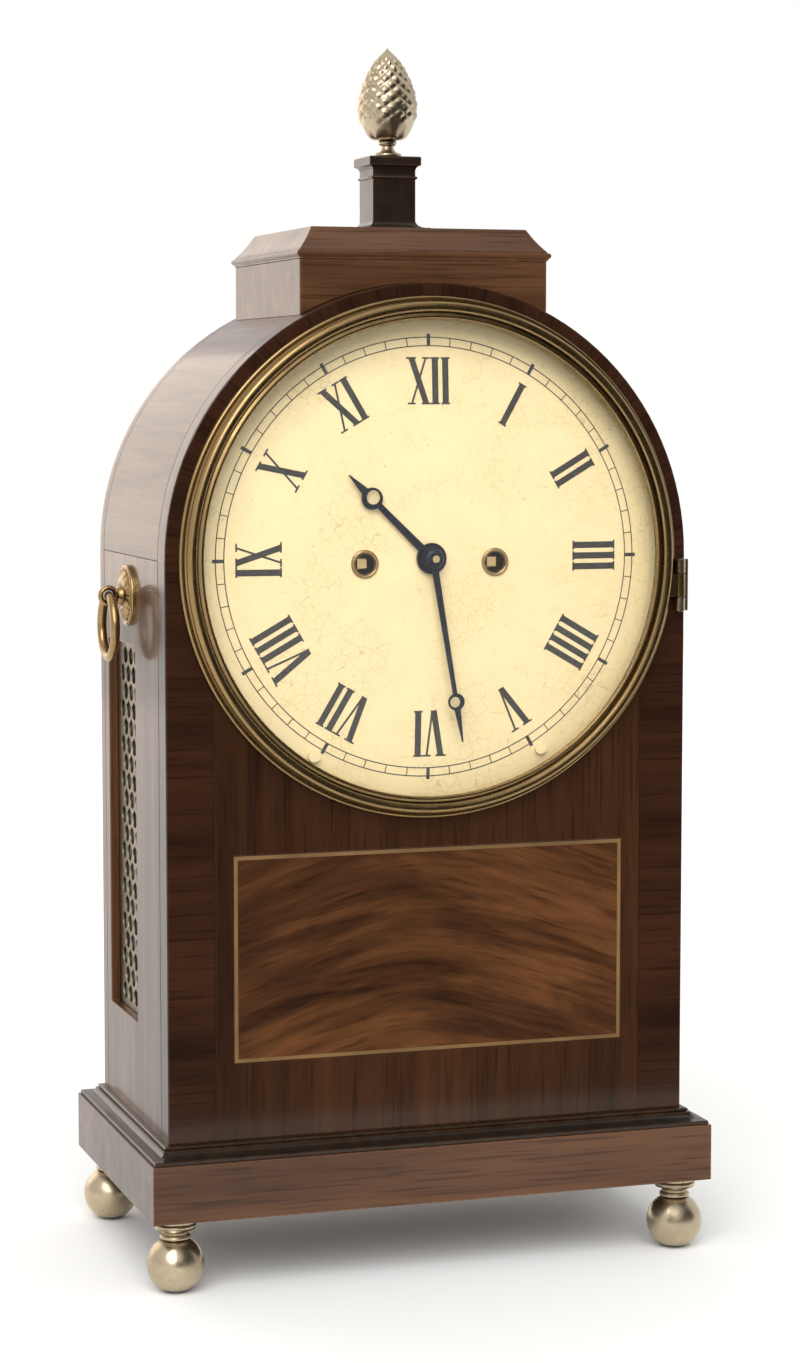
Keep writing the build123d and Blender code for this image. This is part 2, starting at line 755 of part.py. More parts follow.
going_barrel = (winding_x + barrel_outset, barrel_z)
strike_barrel = (-winding_x - barrel_outset, barrel_z)
pillar_x = plate_width / 2 - 8.0
hammer_pillar_gap = 7.0
hammer_reach = 17.6
hammer_x = -pillar_x + hammer_pillar_gap
hammer_arbor = (hammer_x, pin_arbor[1] + math.sqrt(hammer_reach ** 2 - (hammer_x - pin_arbor[0]) ** 2))

# Arbor name: place, pivot radius in the front plate, pivot radius in the back plate
winding_radius = 3.0
pivots = {
    "centre": (centre, 1.5, 1.2),
    "going_winding": (going_winding, winding_radius, 2.0),
    "strike_winding": (strike_winding, winding_radius, 2.0),
    "third": (third, 0.7, 0.7),
    "escape": (escape, 0.7, 0.7),
    "pallet": (pallet, 0.9, 3.6),
    "pin_arbor": (pin_arbor, 1.0, 1.0),
    "going_barrel": (going_barrel, 2.5, 2.5),
    "strike_barrel": (strike_barrel, 2.5, 2.5),
    "hammer": (hammer_arbor, 1.0, 1.0),
}
inner_front = plate_back_of_front + end_play
inner_back = back_plate_y - end_play


def arbor(name, body_radius, front_y_end=None, back_y_end=None):
    """A steel arbor whose pivots run in the two plates."""
    (x, z), front_radius, back_radius = pivots[name]
    front_end = front_plate_y if front_y_end is None else front_y_end
    back_end = back_plate_rear if back_y_end is None else back_y_end
    shape = rod_y(x, z, body_radius, inner_front, inner_back)
    shape += rod_y(x, z, front_radius, front_end, inner_front + 0.1)
    shape += rod_y(x, z, back_radius, inner_back - 0.1, back_end)
    return shape


# Depth of each wheel between the plates
great_thickness = 2.5
wheel_thickness = 1.5
great_y = (back_plate_y - 8.5, back_plate_y - 8.5 + great_thickness)
fusee_y = (plate_back_of_front + 9.5, great_y[0])
centre_wheel_y = (plate_back_of_front + 4.5, plate_back_of_front + 4.5 + wheel_thickness)
third_wheel_y = (mid_plates_y - 0.5, mid_plates_y - 0.5 + wheel_thickness)
escape_wheel_y = (great_y[0] - 3.2, great_y[0] - 3.2 + wheel_thickness)
pin_wheel_y = centre_wheel_y
pinion_reach = 2.0

# ---------------------------------------------------------------- plates
pillar_low_z = plate_bottom_z + 9.0
pillar_high_z = plate_top_z - 9.0
pillar_radius = 4.5
pillar_tenon = 2.4
pillar_collar_length = 4.0
pillar_places = [(sx * pillar_x, z) for z in (pillar_low_z, pillar_high_z) for sx in (-1, 1)]
dial_foot_x = 50.0
dial_foot_reach = dial_radius - dial_foot_inset
dial_foot_low_z = arch_centre_z - math.sqrt(dial_foot_reach ** 2 - dial_foot_x ** 2)
dial_foot_clear = 4.4
dial_foot_high_z = hammer_arbor[1] + dial_foot_clear
dial_tenon = 1.5
dial_foot_places = [(sx * dial_foot_x, z) for z in (dial_foot_low_z, dial_foot_high_z)
                    for sx in (-1, 1)]
plate_height = plate_top_z - plate_bottom_z
plate_face = Pos(0, plate_bottom_z + plate_height / 2) * Rectangle(plate_width, plate_height)
front_holes = []
back_holes = []
for (x, z), front_radius, back_radius in pivots.values():
    front_holes.append(Pos(x, z) * Circle(front_radius + running_fit))
    back_holes.append(Pos(x, z) * Circle(back_radius + running_fit))
for x, z in pillar_places:
    front_holes.append(Pos(x, z) * Circle(pillar_tenon + close_fit))
    back_holes.append(Pos(x, z) * Circle(pillar_tenon + close_fit))
for x, z in dial_foot_places:
    front_holes.append(Pos(x, z) * Circle(dial_tenon + close_fit))
post_radius = 1.5
post_length = 11.0
front_plate = slab_y(plate_face - front_holes, front_plate_y, plate_back_of_front)
front_plate += rod_y(minute_post[0], minute_post[1], post_radius,
                     front_plate_y - post_length, front_plate_y + 0.5)
save("front_plate", front_plate)

cock_foot_x = 18.0
cock_screw_radius = 1.6
bell_foot_x = -30.0
bell_foot_z = plate_top_z - 10.0
for x in (-cock_foot_x, cock_foot_x, bell_foot_x):
    z = bell_foot_z if x == bell_foot_x else pallet[1]
    back_holes.append(Pos(x, z) * Circle(cock_screw_radius + close_fit))
save("back_plate", slab_y(plate_face - back_holes, back_plate_y, back_plate_rear))

seat_bolt_radius = 1.8
seat_bolt_depth = 6.0
pillars = []
seat_bolts = []
for x, z in pillar_places:
    pillar = rod_y(x, z, pillar_radius, plate_back_of_front, back_plate_y)
    for end_y in (plate_back_of_front, back_plate_y - pillar_collar_length):
        pillar += rod_y(x, z, pillar_radius + 1.2, end_y, end_y + pillar_collar_length)
    pillar += rod_y(x, z, pillar_tenon, front_plate_y - 1.5, back_plate_rear + 1.5)
    if z == pillar_low_z:
        pillar -= rod_z(x, mid_plates_y, seat_bolt_radius + close_fit, z - 2 * pillar_radius,
                        plate_bottom_z + seat_bolt_depth)
        bolt = rod_z(x, mid_plates_y, seat_bolt_radius, seat_bottom_z, plate_bottom_z + seat_bolt_depth)
        bolt += rod_z(x, mid_plates_y, 2.5 * seat_bolt_radius, seat_bottom_z - 3.0, seat_bottom_z)
        seat_bolts.append(bolt)
    pillars.append(pillar)
save_group("plate_pillars", pillars)
save_group("seat_bolts", seat_bolts)

seat_board = box(-inner_half_width, inner_half_width, seat_front_y, seat_rear_y,
                 seat_bottom_z, plate_bottom_z)
for x in (-pillar_x, pillar_x):
    seat_board -= rod_z(x, mid_plates_y, seat_bolt_radius + close_fit, seat_bottom_z, plate_bottom_z)
save("seat_board", seat_board)

# ---------------------------------------------------------------- barrels, fusees and lines
barrel_y = (fusee_y[0], fusee_y[1])


def barrel(name):
    """A brass spring barrel with raised ends and turns of gut line."""
    x, z = pivots[name][0]
    shape = arbor(name, 4.0)
    shape += rod_y(x, z, barrel_radius - 1.5, barrel_y[0], barrel_y[1])
    for end_y in (barrel_y[0], barrel_y[1] - 2.0):
        shape += rod_y(x, z, barrel_radius, end_y, end_y + 2.0)
    return shape


def fusee(name, tooth_teeth, tooth_angle):
    """A stepped fusee cone on its winding arbor, with its great wheel."""
    x, z = pivots[name][0]
    square = 4.0
    key_end_y = dial_apex_y + 4.5
    shape = arbor(name, 4.0, front_y_end=key_end_y + 7.0)
    shape += box(x - square / 2, x + square / 2, key_end_y, key_end_y + 8.0,
                 z - square / 2, z + square / 2)
    points = [(0, fusee_y[0])]
    step = (fusee_y[1] - fusee_y[0]) / fusee_turns
    for turn in range(fusee_turns):
        share = (turn + 1) / fusee_turns
        radius = fusee_small_radius + (fusee_large_radius - fusee_small_radius) * share ** 1.5
        start = fusee_y[0] + turn * step
        points.append((radius, start))
        points.append((radius, start + step * 0.3))
        points.append((radius - 1.0, start + step * 0.5))
        points.append((radius - 1.0, start + step * 0.8))
        points.append((radius, start + step))
    points.append((0, fusee_y[1]))
    shape += turned_y(x, z, points)
    face = gear_face(x, z, tooth_teeth, great_module, tooth_angle, 0.42, 0.75, 1.3)
    return shape + slab_y(face, great_y[0], great_y[1])


save("going_barrel", barrel("going_barrel"))
save("strike_barrel", barrel("strike_barrel"))
save("going_fusee", fusee("going_winding", great_teeth, mesh_angle(going_winding, centre)))
save("strike_fusee", fusee("strike_winding", strike_teeth, mesh_angle(strike_winding, pin_arbor)))


def gut_line(barrel_place, fusee_place, outer_sign):
    """A straight line of gut, tangent to the barrel and to the middle of the fusee."""
    line_gap = gut_radius + 0.3
    fusee_radius = (fusee_small_radius + fusee_large_radius) / 2 + 1.5
    near = barrel_radius + line_gap
    far = fusee_radius + line_gap
    length = math.dist(barrel_place, fusee_place)
    heading = math.atan2(fusee_place[1] - barrel_place[1], fusee_place[0] - barrel_place[0])
    lean = heading - outer_sign * math.acos((near - far) / length)
    start = (barrel_place[0] + near * math.cos(lean), barrel_place[1] + near * math.sin(lean))
    end = (fusee_place[0] + far * math.cos(lean), fusee_place[1] + far * math.sin(lean))
    middle_y = (fusee_y[0] + fusee_y[1]) / 2
    run = math.dist(start, end)
    tilt = math.degrees(math.atan2(end[0] - start[0], end[1] - start[1]))
    middle = Pos((start[0] + end[0]) / 2, middle_y, (start[1] + end[1]) / 2)
    return middle * Rot(0, tilt, 0) * Cylinder(gut_radius, run)


save_group("gut_lines", [gut_line(going_barrel, going_winding, 1),
                         gut_line(strike_barrel, strike_winding, -1)])

# ---------------------------------------------------------------- going train
minute_hand_y = dial_apex_y - 2 * hand_gap - 2 * hand_thickness - 0.6
hour_hand_y = dial_apex_y - hand_gap - hand_thickness
arbor_tip_y = minute_hand_y - 3.4

centre_wheel = arbor("centre", pivots["centre"][1], front_y_end=arbor_tip_y)
centre_wheel += pinion(centre[0], centre[1], centre_leaves, great_module,
                       facing_gap(going_winding, centre, centre_leaves),
                       great_y[0] - pinion_reach, great_y[1] + pinion_reach)
centre_wheel += wheel(centre[0], centre[1], centre_teeth, centre_module,
                      mesh_angle(centre, third), centre_wheel_y[0], centre_wheel_y[1])
centre_wheel += rod_y(centre[0], centre[1], 3.6, centre_wheel_y[1] - 0.1, centre_wheel_y[1] + 3.0)
save("centre_wheel", centre_wheel)


def train_arbor(name, previous, leaves, pinion_module, pinion_y, wheel_shape, wheel_y):
    """A pinion and a wheel on one thin arbor."""
    (x, z) = pivots[name][0]
    shape = arbor(name, 0.85)
    shape += pinion(x, z, leaves, pinion_module, facing_gap(previous, (x, z), leaves),
                    pinion_y[0] - pinion_reach, pinion_y[1] + pinion_reach)
    shape += wheel_shape
    shape += rod_y(x, z, 3.5, wheel_y[1] - 0.1, wheel_y[1] + 2.5)
    return shape


third_disc = wheel(third[0], third[1], third_teeth, third_module,
                   mesh_angle(third, escape), third_wheel_y[0], third_wheel_y[1])
save("third_wheel", train_arbor("third", centre, third_leaves, centre_module, centre_wheel_y,
                                third_disc, third_wheel_y))

escape_points = []
for tooth in range(escape_teeth):
    for radius, offset in ((escape_radius, 0), (escape_radius - 2.6, 0.12),
                           (escape_radius - 2.6, 0.80)):
        turn = 2 * math.pi * (tooth + offset) / escape_teeth
        escape_points.append((escape[0] + radius * math.cos(turn),
                              escape[1] + radius * math.sin(turn)))
escape_face = polygon(escape_points)
escape_face -= crossings(escape[0], escape[1], escape_radius - 4.2, 3.4, 4, 1.6)
escape_disc = slab_y(escape_face, escape_wheel_y[0], escape_wheel_y[1])
save("escape_wheel", train_arbor("escape", third, escape_leaves, third_module, third_wheel_y,
                                 escape_disc, escape_wheel_y))

# ---------------------------------------------------------------- pallets, cock and pendulum
bridge_y = back_plate_rear + 6.5
bridge_thickness = 3.0
chop_y = (bridge_y + bridge_thickness - 0.5, pendulum_y + 3.0)
crutch_y = back_plate_rear + 2.0
crutch_thickness = 1.6
crutch_length = 58.0
fork_gap = 0.15
fork_width = 2.0
nib_x = 10.1
nib_drop = 7.65


def pallet_arm(side):
    """One arm of the anchor, its nib just clear of the escape wheel's teeth."""
    x, z = pallet
    points = [
        (x, z + 2.6),
        (x + side * 7.5, z + 1.2),
        (x + side * 12.2, z - 3.4),
        (x + side * 11.9, z - nib_drop - 0.2),
        (x + side * nib_x, z - nib_drop),
        (x + side * 9.2, z - 4.0),
        (x + side * 6.0, z - 1.6),
        (x, z - 2.0),
    ]
    return polygon(points)


anchor_face = pallet_arm(-1) + pallet_arm(1) + Pos(pallet[0], pallet[1]) * Circle(3.2)
pallets = rod_y(pallet[0], pallet[1], 1.6, inner_front, bridge_y - end_play)
pallets += rod_y(pallet[0], pallet[1], pivots["pallet"][1], front_plate_y, inner_front + 0.1)
pallets += rod_y(pallet[0], pallet[1], pivots["pallet"][1], bridge_y - end_play - 0.1,
                 bridge_y + bridge_thickness - 1.0)
pallets += slab_y(anchor_face, escape_wheel_y[0] - 0.8, escape_wheel_y[1] + 0.8)
pallets += rod_y(pallet[0], pallet[1], 3.0, crutch_y, crutch_y + crutch_thickness + 1.0)
crutch_end_z = pallet[1] - crutch_length
pallets += box(pallet[0] - 1.2, pallet[0] + 1.2, crutch_y, crutch_y + crutch_thickness,
               crutch_end_z, pallet[1])
fork_inner = pendulum_rod_radius + fork_gap
pallets += box(pallet[0] - fork_inner - fork_width, pallet[0] + fork_inner + fork_width,
               crutch_y, crutch_y + crutch_thickness, crutch_end_z - 5.0, crutch_end_z)
for side in (-1, 1):
    tine = [pallet[0] + side * fork_inner, pallet[0] + side * (fork_inner + fork_width)]
    pallets += box(min(tine), max(tine), crutch_y, pendulum_y + 3.0,
                   crutch_end_z - 5.0, crutch_end_z)
save("pallets", pallets)

spring_half_thickness = 0.15
spring_y = (pendulum_y - 2.2, pendulum_y + 2.2)
bridge_half = cock_foot_x + 5.0
cock = box(-bridge_half, bridge_half, bridge_y, bridge_y + bridge_thickness,
           pallet[1] - 5.0, pallet[1] + 8.0)
for side in (-1, 1):
    foot_x0 = side * cock_foot_x - 5.0
    cock += box(foot_x0, foot_x0 + 10.0, back_plate_rear, bridge_y + 0.1,
                pallet[1] - 5.0, pallet[1] + 5.0)
    cock += rod_y(side * cock_foot_x, pallet[1], cock_screw_radius, back_plate_y,
                  back_plate_rear + 0.1)
cock += box(-4.0, 4.0, chop_y[0], chop_y[1], pallet[1] + 2.5, pallet[1] + 8.0)
cock -= box(-spring_half_thickness - close_fit, spring_half_thickness + close_fit,
            spring_y[0] - close_fit, chop_y[1], pallet[1] + 2.0, pallet[1] + 6.0)
cock -= rod_y(pallet[0], pallet[1], pivots["pallet"][1] + running_fit, bridge_y,
              bridge_y + bridge_thickness)
cock += box(-spring_half_thickness, spring_half_thickness, spring_y[0], spring_y[1],
            pallet[1] + 0.2, pallet[1] + 6.0)
save("back_cock", cock)

rod_top_z = pallet[1] - 9.0
pendulum_bob_z = pallet[1] - pendulum_length
rod_bottom_z = pendulum_bob_z - bob_radius - 14.0
rod = rod_z(0, pendulum_y, pendulum_rod_radius, rod_bottom_z, rod_top_z)
rod += box(-2.6, 2.6, pendulum_y - 2.6, pendulum_y + 2.6, rod_top_z - 8.0, rod_top_z + 1.0)
rod += box(-spring_half_thickness, spring_half_thickness, spring_y[0], spring_y[1],
           rod_top_z, pallet[1] - 0.2)
save("pendulum_rod", rod)

half_bob = bob_thickness / 2
bob = turned_y(0, pendulum_bob_z, [
    (0, pendulum_y - half_bob),
    (bob_radius * 0.35, pendulum_y - half_bob * 0.96),
    (bob_radius * 0.65, pendulum_y - half_bob * 0.78),
    (bob_radius * 0.88, pendulum_y - half_bob * 0.42),
    (bob_radius, pendulum_y - half_bob * 0.1),
    (bob_radius, pendulum_y + half_bob * 0.1),
    (bob_radius * 0.88, pendulum_y + half_bob * 0.42),
    (bob_radius * 0.65, pendulum_y + half_bob * 0.78),
    (bob_radius * 0.35, pendulum_y + half_bob * 0.96),
    (0, pendulum_y + half_bob),
])
bob -= rod_z(0, pendulum_y, pendulum_rod_radius + close_fit,
             pendulum_bob_z - bob_radius, pendulum_bob_z + bob_radius)
save("pendulum_bob", bob)

nut_top_z = pendulum_bob_z - bob_radius - 0.2
nut = rod_z(0, pendulum_y, 6.0, nut_top_z - 4.0, nut_top_z)
nut += rod_z(0, pendulum_y, 3.0, nut_top_z - 7.0, nut_top_z - 3.9)
nut -= rod_z(0, pendulum_y, pendulum_rod_radius + close_fit, nut_top_z - 7.0, nut_top_z)
save("rating_nut", nut)

# ---------------------------------------------------------------- motion work and hands
cannon_y = (front_plate_y - 4.5, front_plate_y - 2.5)
hour_wheel_y = (front_plate_y - 10.0, front_plate_y - 8.2)
cannon_pipe_radius = 2.3
hour_pipe_radius = 3.6
dial_centre_hole = hour_pipe_radius + 1.0

cannon = slab_y(gear_face(centre[0], centre[1], cannon_teeth, cannon_module,
                          mesh_angle(centre, minute_post), 0.42, 0.75, 1.3),
                cannon_y[0], cannon_y[1])
cannon += rod_y(centre[0], centre[1], cannon_pipe_radius, minute_hand_y + hand_thickness,
                front_plate_y - 0.5)
cannon -= rod_y(centre[0], centre[1], pivots["centre"][1] + close_fit, arbor_tip_y,
                front_plate_y)
save("cannon_wheel", cannon)

minute_wheel = slab_y(gear_face(minute_post[0], minute_post[1], minute_teeth, cannon_module,
                                facing_gap(centre, minute_post, minute_teeth), 0.42, 0.75, 1.3),
                      cannon_y[0], cannon_y[1])
minute_wheel += slab_y(gear_face(minute_post[0], minute_post[1], minute_leaves, hour_module,
                                 mesh_angle(minute_post, centre), 0.42, 0.75, 1.3),
                       hour_wheel_y[0] - 0.6, cannon_y[0] + 0.1)
minute_wheel -= rod_y(minute_post[0], minute_post[1], post_radius + running_fit,
                      front_plate_y - 20.0, front_plate_y)
save("minute_wheel", minute_wheel)

hour_outline = gear_face(centre[0], centre[1], hour_teeth, hour_module,
                         facing_gap(minute_post, centre, hour_teeth), 0.42, 0.75, 1.3)
hour_wheel = slab_y(hour_outline, hour_wheel_y[0], hour_wheel_y[1])
hour_wheel += rod_y(centre[0], centre[1], hour_pipe_radius, hour_hand_y, hour_wheel_y[1])
hour_wheel -= rod_y(centre[0], centre[1], cannon_pipe_radius + running_fit, arbor_tip_y,
                    front_plate_y)
save("hour_wheel", hour_wheel)


def hand_face(length, root_width, neck_width, moon_share, moon_radius, moon_hole, boss, hole):
    """A hand drawn pointing up: a tapered stem, a pierced moon and a fine tip."""
    moon_height = length * moon_share
    stem = polygon([
        (-root_width / 2, 0),
        (-neck_width / 2, moon_height),
        (neck_width / 2, moon_height),
        (root_width / 2, 0),
    ])
    tip = polygon([
        (-neck_width * 0.8, moon_height + moon_radius * 0.6),
        (-0.25, length),
        (0.25, length),
        (neck_width * 0.8, moon_height + moon_radius * 0.6),
    ])
    face = stem + tip + Circle(boss)
    face += Pos(0, moon_height) * Circle(moon_radius)
    face -= Pos(moon_radius * 0.15, moon_height) * Circle(moon_hole)
    return face - Circle(hole)


def set_hand(face, clock_angle, y0):
    """A hand turned clockwise from twelve and placed at y0."""
    turned = Pos(centre[0], centre[1]) * Rot(0, 0, -clock_angle) * face
    return slab_y(turned, y0, y0 + hand_thickness)


minute_angle = 360 * time_minutes / 60
hour_angle = 360 * (time_hours + time_minutes / 60) / 12
hour_shape = hand_face(hour_hand_length, 3.6, 2.4, 0.72, 4.6, 2.9, 6.5,
                       hour_pipe_radius + close_fit)
minute_shape = hand_face(minute_hand_length, 3.0, 1.8, 0.78, 3.6, 2.2, 5.0,
                         pivots["centre"][1] + close_fit)
save("hour_hand", set_hand(hour_shape, hour_angle, hour_hand_y))
save("minute_hand", set_hand(minute_shape, minute_angle, minute_hand_y))

collet = turned_y(centre[0], centre[1], [
    (pivots["centre"][1] + close_fit, minute_hand_y),
    (pivots["centre"][1] + close_fit, minute_hand_y - 2.2),
    (2.6, minute_hand_y - 2.2),
    (4.2, minute_hand_y - 1.2),
    (4.2, minute_hand_y),
])
save("hand_collet", collet)

# ---------------------------------------------------------------- dial
winding_hole_radius = 5.0
dial = dome_y(dial_radius, dial_sag, dial_thickness, dial_apex_y)
for x, z in dial_foot_places:
    foot_start_y = dial_apex_y + dial_thickness + 0.3
    dial += rod_y(x, z, dial_foot_radius, foot_start_y, front_plate_y)
    dial += rod_y(x, z, dial_tenon, front_plate_y - 0.1, plate_back_of_front + 1.5)
dial -= rod_y(centre[0], centre[1], dial_centre_hole, dial_apex_y - 1, dial_apex_y + 3)
for side in (-1, 1):
    dial -= rod_y(side * winding_x, winding_z, winding_hole_radius, dial_apex_y - 1,
                  dial_apex_y + 4)
save("dial", dial)

# ---------------------------------------------------------------- strike side
pin_disc = wheel(pin_arbor[0], pin_arbor[1], pin_teeth, 0.45, 0, pin_wheel_y[0], pin_wheel_y[1])
lifting_pins = 8
pin_circle = 11.0
for index in range(lifting_pins):
    x, z = arbor_above(pin_arbor, pin_circle + 1.0, 360 / lifting_pins * index)
    pin_disc += rod_y(x, z, 0.7, pin_wheel_y[1] - 0.5, pin_wheel_y[1] + 5.0)
pin_wheel = arbor("pin_arbor", 1.4)
pin_wheel += pinion(pin_arbor[0], pin_arbor[1], pin_leaves, great_module,
                    facing_gap(strike_winding, pin_arbor, pin_leaves),
                    great_y[0] - pinion_reach, great_y[1] + pinion_reach)
pin_wheel += pin_disc
pin_wheel += rod_y(pin_arbor[0], pin_arbor[1], 3.6, pin_wheel_y[1] - 0.1, pin_wheel_y[1] + 3.0)
save("pin_wheel", pin_wheel)

bell_mouth_z = plate_top_z + 4.0
hammer_head_z = bell_mouth_z + 4.0
head_gap = 1.0
head_x1 = -bell_radius - head_gap
head_x0 = head_x1 - 9.0
hammer = arbor("hammer", 1.6)
shaft_lean = math.degrees(math.atan2(head_x0 + 3.0 - hammer_arbor[0],
                                     hammer_head_z - hammer_arbor[1]))
shaft_length = math.hypot(head_x0 + 3.0 - hammer_arbor[0], hammer_head_z - hammer_arbor[1])
shaft = Rot(0, shaft_lean, 0) * Pos(0, 0, shaft_length / 2) * Cylinder(1.2, shaft_length)
hammer += Pos(hammer_arbor[0], bell_y, hammer_arbor[1]) * shaft
hammer += rod_y(hammer_arbor[0], hammer_arbor[1], 3.0, bell_y - 3.0, bell_y + 3.0)
hammer += rod_x(bell_y, hammer_head_z, 3.6, head_x0, head_x1)
save("hammer", hammer)

bell_profile = []
bell_steps = 8
bell_crown_radius = 5.0
for surface, direction in ((0.0, 1), (bell_wall, -1)):
    order = range(bell_steps + 1) if direction > 0 else range(bell_steps, -1, -1)
    for step in order:
        share = step / bell_steps
        flare = 1 - share ** 2.6
        radius = (bell_radius - surface) * (0.92 * math.sqrt(flare) + 0.08 * (1 - share))
        height = bell_mouth_z + (bell_height - surface) * share
        bell_profile.append((max(radius, bell_crown_radius), height))
    crown_z = bell_mouth_z + bell_height - surface
    bell_profile.insert(len(bell_profile) if direction > 0 else -(bell_steps + 1), (0, crown_z))
bell = turned_z(0, bell_y, bell_profile)
bell_hole_radius = 2.0
bell -= rod_z(0, bell_y, bell_hole_radius + close_fit, bell_mouth_z,
              bell_mouth_z + bell_height + 1.0)
save("bell", bell)

bell_arm_z = plate_top_z + 0.8
bell_top_z = bell_mouth_z + bell_height
stand = box(bell_foot_x - 5.0, bell_foot_x + 5.0, back_plate_rear, back_plate_rear + 2.5,
            bell_foot_z - 6.0, bell_arm_z + 2.2)
stand += box(bell_foot_x - 5.0, 5.0, bell_y - 5.0, bell_y + 5.0, bell_arm_z, bell_arm_z + 2.2)
stand += box(bell_foot_x - 5.0, bell_foot_x + 5.0, bell_y - 5.0, back_plate_rear + 2.5,
             bell_arm_z, bell_arm_z + 2.2)
stand += rod_y(bell_foot_x, bell_foot_z, cock_screw_radius, back_plate_y, back_plate_rear + 0.1)
stand += rod_z(0, bell_y, 3.2, bell_arm_z, bell_top_z - bell_wall - 0.1)
stand += rod_z(0, bell_y, bell_hole_radius, bell_top_z - bell_wall - 0.2, bell_top_z + 4.0)
stand += rod_z(0, bell_y, 4.5, bell_top_z + 0.2, bell_top_z + 3.0)
save("bell_stand", stand)
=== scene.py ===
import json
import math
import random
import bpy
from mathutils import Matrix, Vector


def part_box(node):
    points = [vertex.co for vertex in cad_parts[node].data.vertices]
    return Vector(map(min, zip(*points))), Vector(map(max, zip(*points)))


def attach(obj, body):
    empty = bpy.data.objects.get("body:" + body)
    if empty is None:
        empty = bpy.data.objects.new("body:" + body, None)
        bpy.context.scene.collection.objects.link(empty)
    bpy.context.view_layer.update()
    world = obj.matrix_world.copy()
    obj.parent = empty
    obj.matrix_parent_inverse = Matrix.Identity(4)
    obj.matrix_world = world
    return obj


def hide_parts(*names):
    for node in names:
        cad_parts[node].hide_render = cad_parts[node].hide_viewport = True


bl_info = {
    "name": "Arched bracket clock",
    "version": (1, 0, 0),
    "blender": (4, 5, 0),
    "location": "3D View > Sidebar > Clock",
    "description": "Makes and finishes the pieces of an arched mahogany bracket clock and its studio",
    "category": "Object",
}

from functools import cache

import bmesh
import bpy
from bpy.props import FloatProperty, FloatVectorProperty, IntProperty, PointerProperty
from mathutils import Matrix, Vector, noise

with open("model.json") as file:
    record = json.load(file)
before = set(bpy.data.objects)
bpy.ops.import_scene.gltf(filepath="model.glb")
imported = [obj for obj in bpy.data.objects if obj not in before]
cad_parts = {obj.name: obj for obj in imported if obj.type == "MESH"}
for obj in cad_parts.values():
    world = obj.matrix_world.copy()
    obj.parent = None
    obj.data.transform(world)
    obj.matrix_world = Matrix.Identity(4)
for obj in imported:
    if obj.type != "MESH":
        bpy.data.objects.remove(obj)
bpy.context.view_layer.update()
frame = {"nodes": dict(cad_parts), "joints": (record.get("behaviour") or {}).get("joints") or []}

# Lengths and places are in millimetres here, and in metres only inside Blender's own data.
MM = 0.001


# ------------------------------------------------------------------ places in the frame
def box(node):
    """The lowest and highest corners of a node."""
    return [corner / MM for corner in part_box(node)]


def middle(node):
    """The middle of a node's box."""
    lowest, highest = box(node)
    return (lowest + highest) / 2


PIVOTS = {joint["name"]: Vector(joint["pos_m"]) / MM for joint in frame["joints"]}
ARCH_CENTRE_Z = middle("dial_glass").z
CASE_HALF_WIDTH = box("case_front")[1].x
CASE_HALF_DEPTH = box("case_back")[1].y
CASE_FRONT_Y = box("case_front")[0].y
DIAL_RADIUS = box("dial")[1].x
DIAL_APEX_Y = box("dial")[0].y
DIAL_DISH = 4.0
GLASS_DOME = 7.0


def dome(radius, edge, depth):
    """How far a shallow dome has fallen away at a radius, where its edge is depth down."""
    ball = (edge ** 2 + depth ** 2) / (2 * depth)
    return ball - math.sqrt(ball ** 2 - radius ** 2)


def dial_surface(radius):
    """How far back the face of the dished dial is at a radius."""
    return DIAL_APEX_Y + dome(radius, DIAL_RADIUS, DIAL_DISH)


# ------------------------------------------------------------------ mesh tools
def spot(place, axis, across, up, along):
    """A point given round an axis through place: across and up lie square to it."""
    x, y, z = place
    if axis == "X":
        return (x + along, y + across, z + up)
    if axis == "Y":
        return (x + across, y + along, z + up)
    return (x + across, y + up, z + along)


def vert(bm, point):
    """A vertex at a point."""
    return bm.verts.new(Vector(point) * MM)


def skin(bm, loops, ring=False, caps=False):
    """Join loops of vertices by faces; a ring's last loop joins its first."""
    if caps:
        bm.faces.new(loops[0])
        bm.faces.new(loops[-1])
    for here, there in zip(loops, loops[1:] + loops[:1] * ring):
        steps = max(len(here), len(there))
        for step in range(steps):
            after = (step + 1) % steps
            corners = (here[step % len(here)], here[after % len(here)],
                       there[after % len(there)], there[step % len(there)])
            bm.faces.new(list(dict.fromkeys(corners)))


def turn(bm, profile, place, axis="Z", steps=96, ring=False, carve=None):
    """Turn (radius, height) points about an axis."""
    loops = []
    for index, (radius, height) in enumerate(profile):
        loop = []
        for step in range(steps if radius > 0 else 1):
            angle = math.tau * step / steps
            reach = radius + (carve(angle, index) if carve else 0)
            loop.append(vert(bm, spot(place, axis, reach * math.cos(angle),
                                      reach * math.sin(angle), height)))
        loops.append(loop)
    skin(bm, loops, ring)


def arc(centre, wide, start, end, steps, tall=None):
    """Points on an arc, or on an oval where tall is given; the angles are in degrees."""
    tall = wide if tall is None else tall
    angles = [math.radians(start + (end - start) * step / steps) for step in range(steps + 1)]
    return [(centre[0] + wide * math.cos(a), centre[1] + tall * math.sin(a)) for a in angles]


def run_round(bm, section, inner, outer, foot, rise=1.0, ring=False):
    """Run (share, height) points round a rectangle; share 0 is at inner and 1 at outer."""
    loops = []
    for share, height in section:
        half_x, half_y = (near + (far - near) * share for near, far in zip(inner, outer))
        loops.append([vert(bm, (sx * half_x, sy * half_y, foot + rise * height))
                      for sx, sy in ((-1, -1), (1, -1), (1, 1), (-1, 1))])
    skin(bm, loops, ring, caps=not ring)


